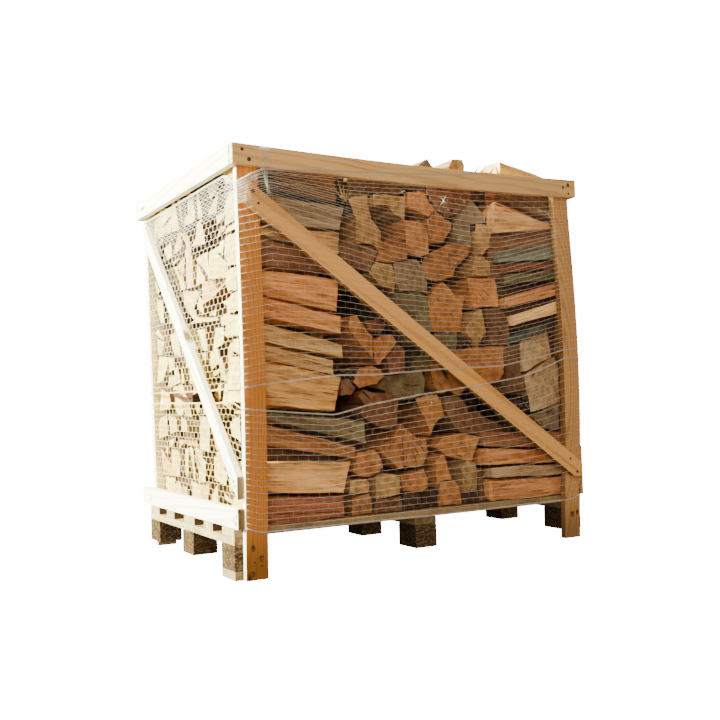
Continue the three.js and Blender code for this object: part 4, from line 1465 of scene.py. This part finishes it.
# So many are pale, and the later ones are yellow like the loose log on top
PALE_SPLINTERS = 11
# Radii in metres at a splinter's foot and tip for each millimetre of its width
FOOT_RADIUS = 1 / 2000
TIP_RADIUS = 1 / 9000
SPLINTER_THICKNESS = 0.35


def splinters():
    work = new_work()
    grain = work.loops.layers.float_vector["grain"]
    colour = work.loops.layers.float_color["tone"]
    flat = Matrix.Diagonal((1, SPLINTER_THICKNESS, 1, 1))
    for seed, (foot, tip, width) in enumerate(SPLINTERS):
        low, high = placed(*foot), placed(*tip)
        way = high - low
        turn = way.to_track_quat("Z", "Y").to_matrix().to_4x4()
        matrix = Matrix.Translation((low + high) / 2) @ turn @ flat
        made = bmesh.ops.create_cone(work, cap_ends=True, segments=5, radius1=width * FOOT_RADIUS,
                                     radius2=width * TIP_RADIUS, depth=way.length, matrix=matrix)
        tone = varied("pale" if seed < PALE_SPLINTERS else "yellow", seed)
        for face in {face for vert in made["verts"] for face in vert.link_faces}:
            for loop in face.loops:
                spot = loop.vert.co - low
                loop[grain] = (spot.dot(way.normalized()), spot.x, spot.z)
                loop[colour] = (*tone, 0)
    finished("splinters", to_mesh(work, "splinters"), [LOG_MATERIALS[SPLIT]], "pale_log")


splinters()

# Nails: driven heads on the front and the left, each in a small stain
FRONT_NAILS = [
    (21, 88), (25, 49), (45, 64), (46, 38), (20, 23),
    (1164, 83), (1186, 85), (1175, 54), (1162, 26), (1184, 27),
]
RAIL_NAILS = [(1163, 1167), (1185, 1176), (1186, 1147), (11, 1178), (31, 1152)]
BRACE_NAILS = [(1136, 266), (1162, 221), (36, 1062), (52, 1030)]
LEFT_NAILS = [(12, 176), (14, 157), (30, 166), (770, 170), (790, 160), (18, 258), (26, 270)]
HEAD_RADIUS = 0.0030
HEAD_HEIGHT = 0.0007
# The posts' stains are wider and have run down
STAIN_RADIUS = 0.0042
STAIN_STEP = 0.0011
WIDER_STAIN = 0.0018
STAIN_HEIGHT = 0.00025
RUN_DOWN = 1.8
DISC_TAPER = 0.85


def disc(work, spot, way, radius, height, segments, drop=1.0):
    turn = way.to_track_quat("Z", "Y").to_matrix().to_4x4()
    middle = Matrix.Translation(spot + way * (height / 2))
    matrix = middle @ turn @ Matrix.Diagonal((1, drop, 1, 1))
    bmesh.ops.create_cone(work, cap_ends=True, segments=segments, radius1=radius,
                          radius2=radius * DISC_TAPER, depth=height, matrix=matrix)


def nails():
    heads = bmesh.new()
    stains = bmesh.new()
    spots = []
    front = Vector((0, -1, 0))
    for x, z in FRONT_NAILS:
        spots.append((placed(x, -bow_at(x, z) - GAP, z), front, RUN_DOWN))
    for x, z in RAIL_NAILS:
        spots.append((placed(x, -BOARD, z), front, 1.0))
    for x, z in BRACE_NAILS:
        out = mix(BRACE_OUT_LEFT, BRACE_OUT_RIGHT, x / WIDTH) + BOARD
        spots.append((placed(x, -out, z), front, 1.0))
    for y, z in LEFT_NAILS:
        spots.append((placed(-BOARD, y, z), Vector((-1, 0, 0)), 1.0))
    for number, (spot, way, drop) in enumerate(spots):
        disc(heads, spot, way, HEAD_RADIUS, HEAD_HEIGHT, 10)
        stain = STAIN_RADIUS + STAIN_STEP * (number * 7 % 3) + WIDER_STAIN * (drop > 1)
        disc(stains, spot, way, stain, STAIN_HEIGHT, 16, drop)
    finished("nail_heads", to_mesh(heads, "nail_heads"), [STEEL], "grey_wood")
    finished("nail_stains", to_mesh(stains, "nail_stains"), [STAIN], "grey_wood")


nails()

# Floor, light and camera
FLOOR_REACH = 14
ROOM_COLOUR = (1.0, 0.90, 0.72, 1)
ROOM_STRENGTH = 0.36
BACKDROP_COLOUR = (1.0, 1.0, 1.0, 1)
# Lamps that face the load's middle: name, place, size, power and colour
LIT_SPOT = Vector((0, 0, 0.6))
LAMPS = [
    ("key", (-5.0, 0.5, 2.6), 1.2, 3400, (0.96, 1.0, 0.76)),
    ("front", (-2.6, -3.9, 1.9), 2.6, 135, (1.0, 0.86, 0.60)),
    ("top", (0.5, 0.5, 4.5), 3.0, 60, (1.0, 0.98, 0.95)),
]


def floor():
    """White, and it throws no light back, so that the shaded front keeps its warm colour."""
    work = bmesh.new()
    bmesh.ops.create_grid(work, x_segments=1, y_segments=1, size=FLOOR_REACH)
    sheet = bpy.data.objects.new("floor", to_mesh(work, "floor"))
    bpy.context.scene.collection.objects.link(sheet)
    sheet.data.materials.append(studio_floor())
    sheet.visible_diffuse = False
    sheet.visible_glossy = False


def area_light(name, spot, size, power, colour):
    light = bpy.data.lights.new(name, "AREA")
    light.shape = "SQUARE"
    light.size = size
    light.energy = power
    light.color = colour
    lamp = bpy.data.objects.new(name, light)
    bpy.context.scene.collection.objects.link(lamp)
    lamp.location = spot
    lamp.rotation_euler = (LIT_SPOT - Vector(spot)).to_track_quat("-Z", "Y").to_euler()


# The camera stands where the photograph's straight edges place it
CAMERA_SPOT = (-982.85, -2380.67, 498.83)
CAMERA_YAW = 0.518
CAMERA_PITCH = 0.036
CAMERA_ROLL = -0.031
FOCAL_PIXELS = 937.65
FRAME_PIXELS = 720
SENSOR = 36


def camera():
    level = Vector((math.cos(CAMERA_YAW), -math.sin(CAMERA_YAW), 0))
    ahead = Vector((math.sin(CAMERA_YAW), math.cos(CAMERA_YAW), 0))
    forward = ahead * math.cos(CAMERA_PITCH) + Vector((0, 0, math.sin(CAMERA_PITCH)))
    above = level.cross(forward)
    right = level * math.cos(CAMERA_ROLL) + above * math.sin(CAMERA_ROLL)
    up = above * math.cos(CAMERA_ROLL) - level * math.sin(CAMERA_ROLL)
    view = bpy.data.cameras.new("camera")
    view.sensor_width = SENSOR
    view.lens = SENSOR * FOCAL_PIXELS / FRAME_PIXELS
    eye = bpy.data.objects.new("camera", view)
    bpy.context.scene.collection.objects.link(eye)
    turn = Matrix((right, up, -forward)).transposed().to_4x4()
    eye.matrix_world = Matrix.Translation(placed(*CAMERA_SPOT)) @ turn
    bpy.context.scene.camera = eye


def studio():
    """A dim warm room that is bright where the camera looks straight at it."""
    world = bpy.data.worlds.new("studio")
    world.use_nodes = True
    nodes, links = world.node_tree.nodes, world.node_tree.links
    room = nodes["Background"]
    room.inputs["Color"].default_value = ROOM_COLOUR
    room.inputs["Strength"].default_value = ROOM_STRENGTH
    backdrop = nodes.new("ShaderNodeBackground")
    backdrop.inputs["Color"].default_value = BACKDROP_COLOUR
    backdrop.inputs["Strength"].default_value = WHITE_GLOW
    choice = nodes.new("ShaderNodeMixShader")
    path = nodes.new("ShaderNodeLightPath")
    links.new(path.outputs["Is Camera Ray"], choice.inputs[0])
    links.new(room.outputs[0], choice.inputs[1])
    links.new(backdrop.outputs[0], choice.inputs[2])
    links.new(choice.outputs[0], nodes["World Output"].inputs["Surface"])
    bpy.context.scene.world = world
    for lamp in LAMPS:
        area_light(*lamp)


floor()
camera()
studio()
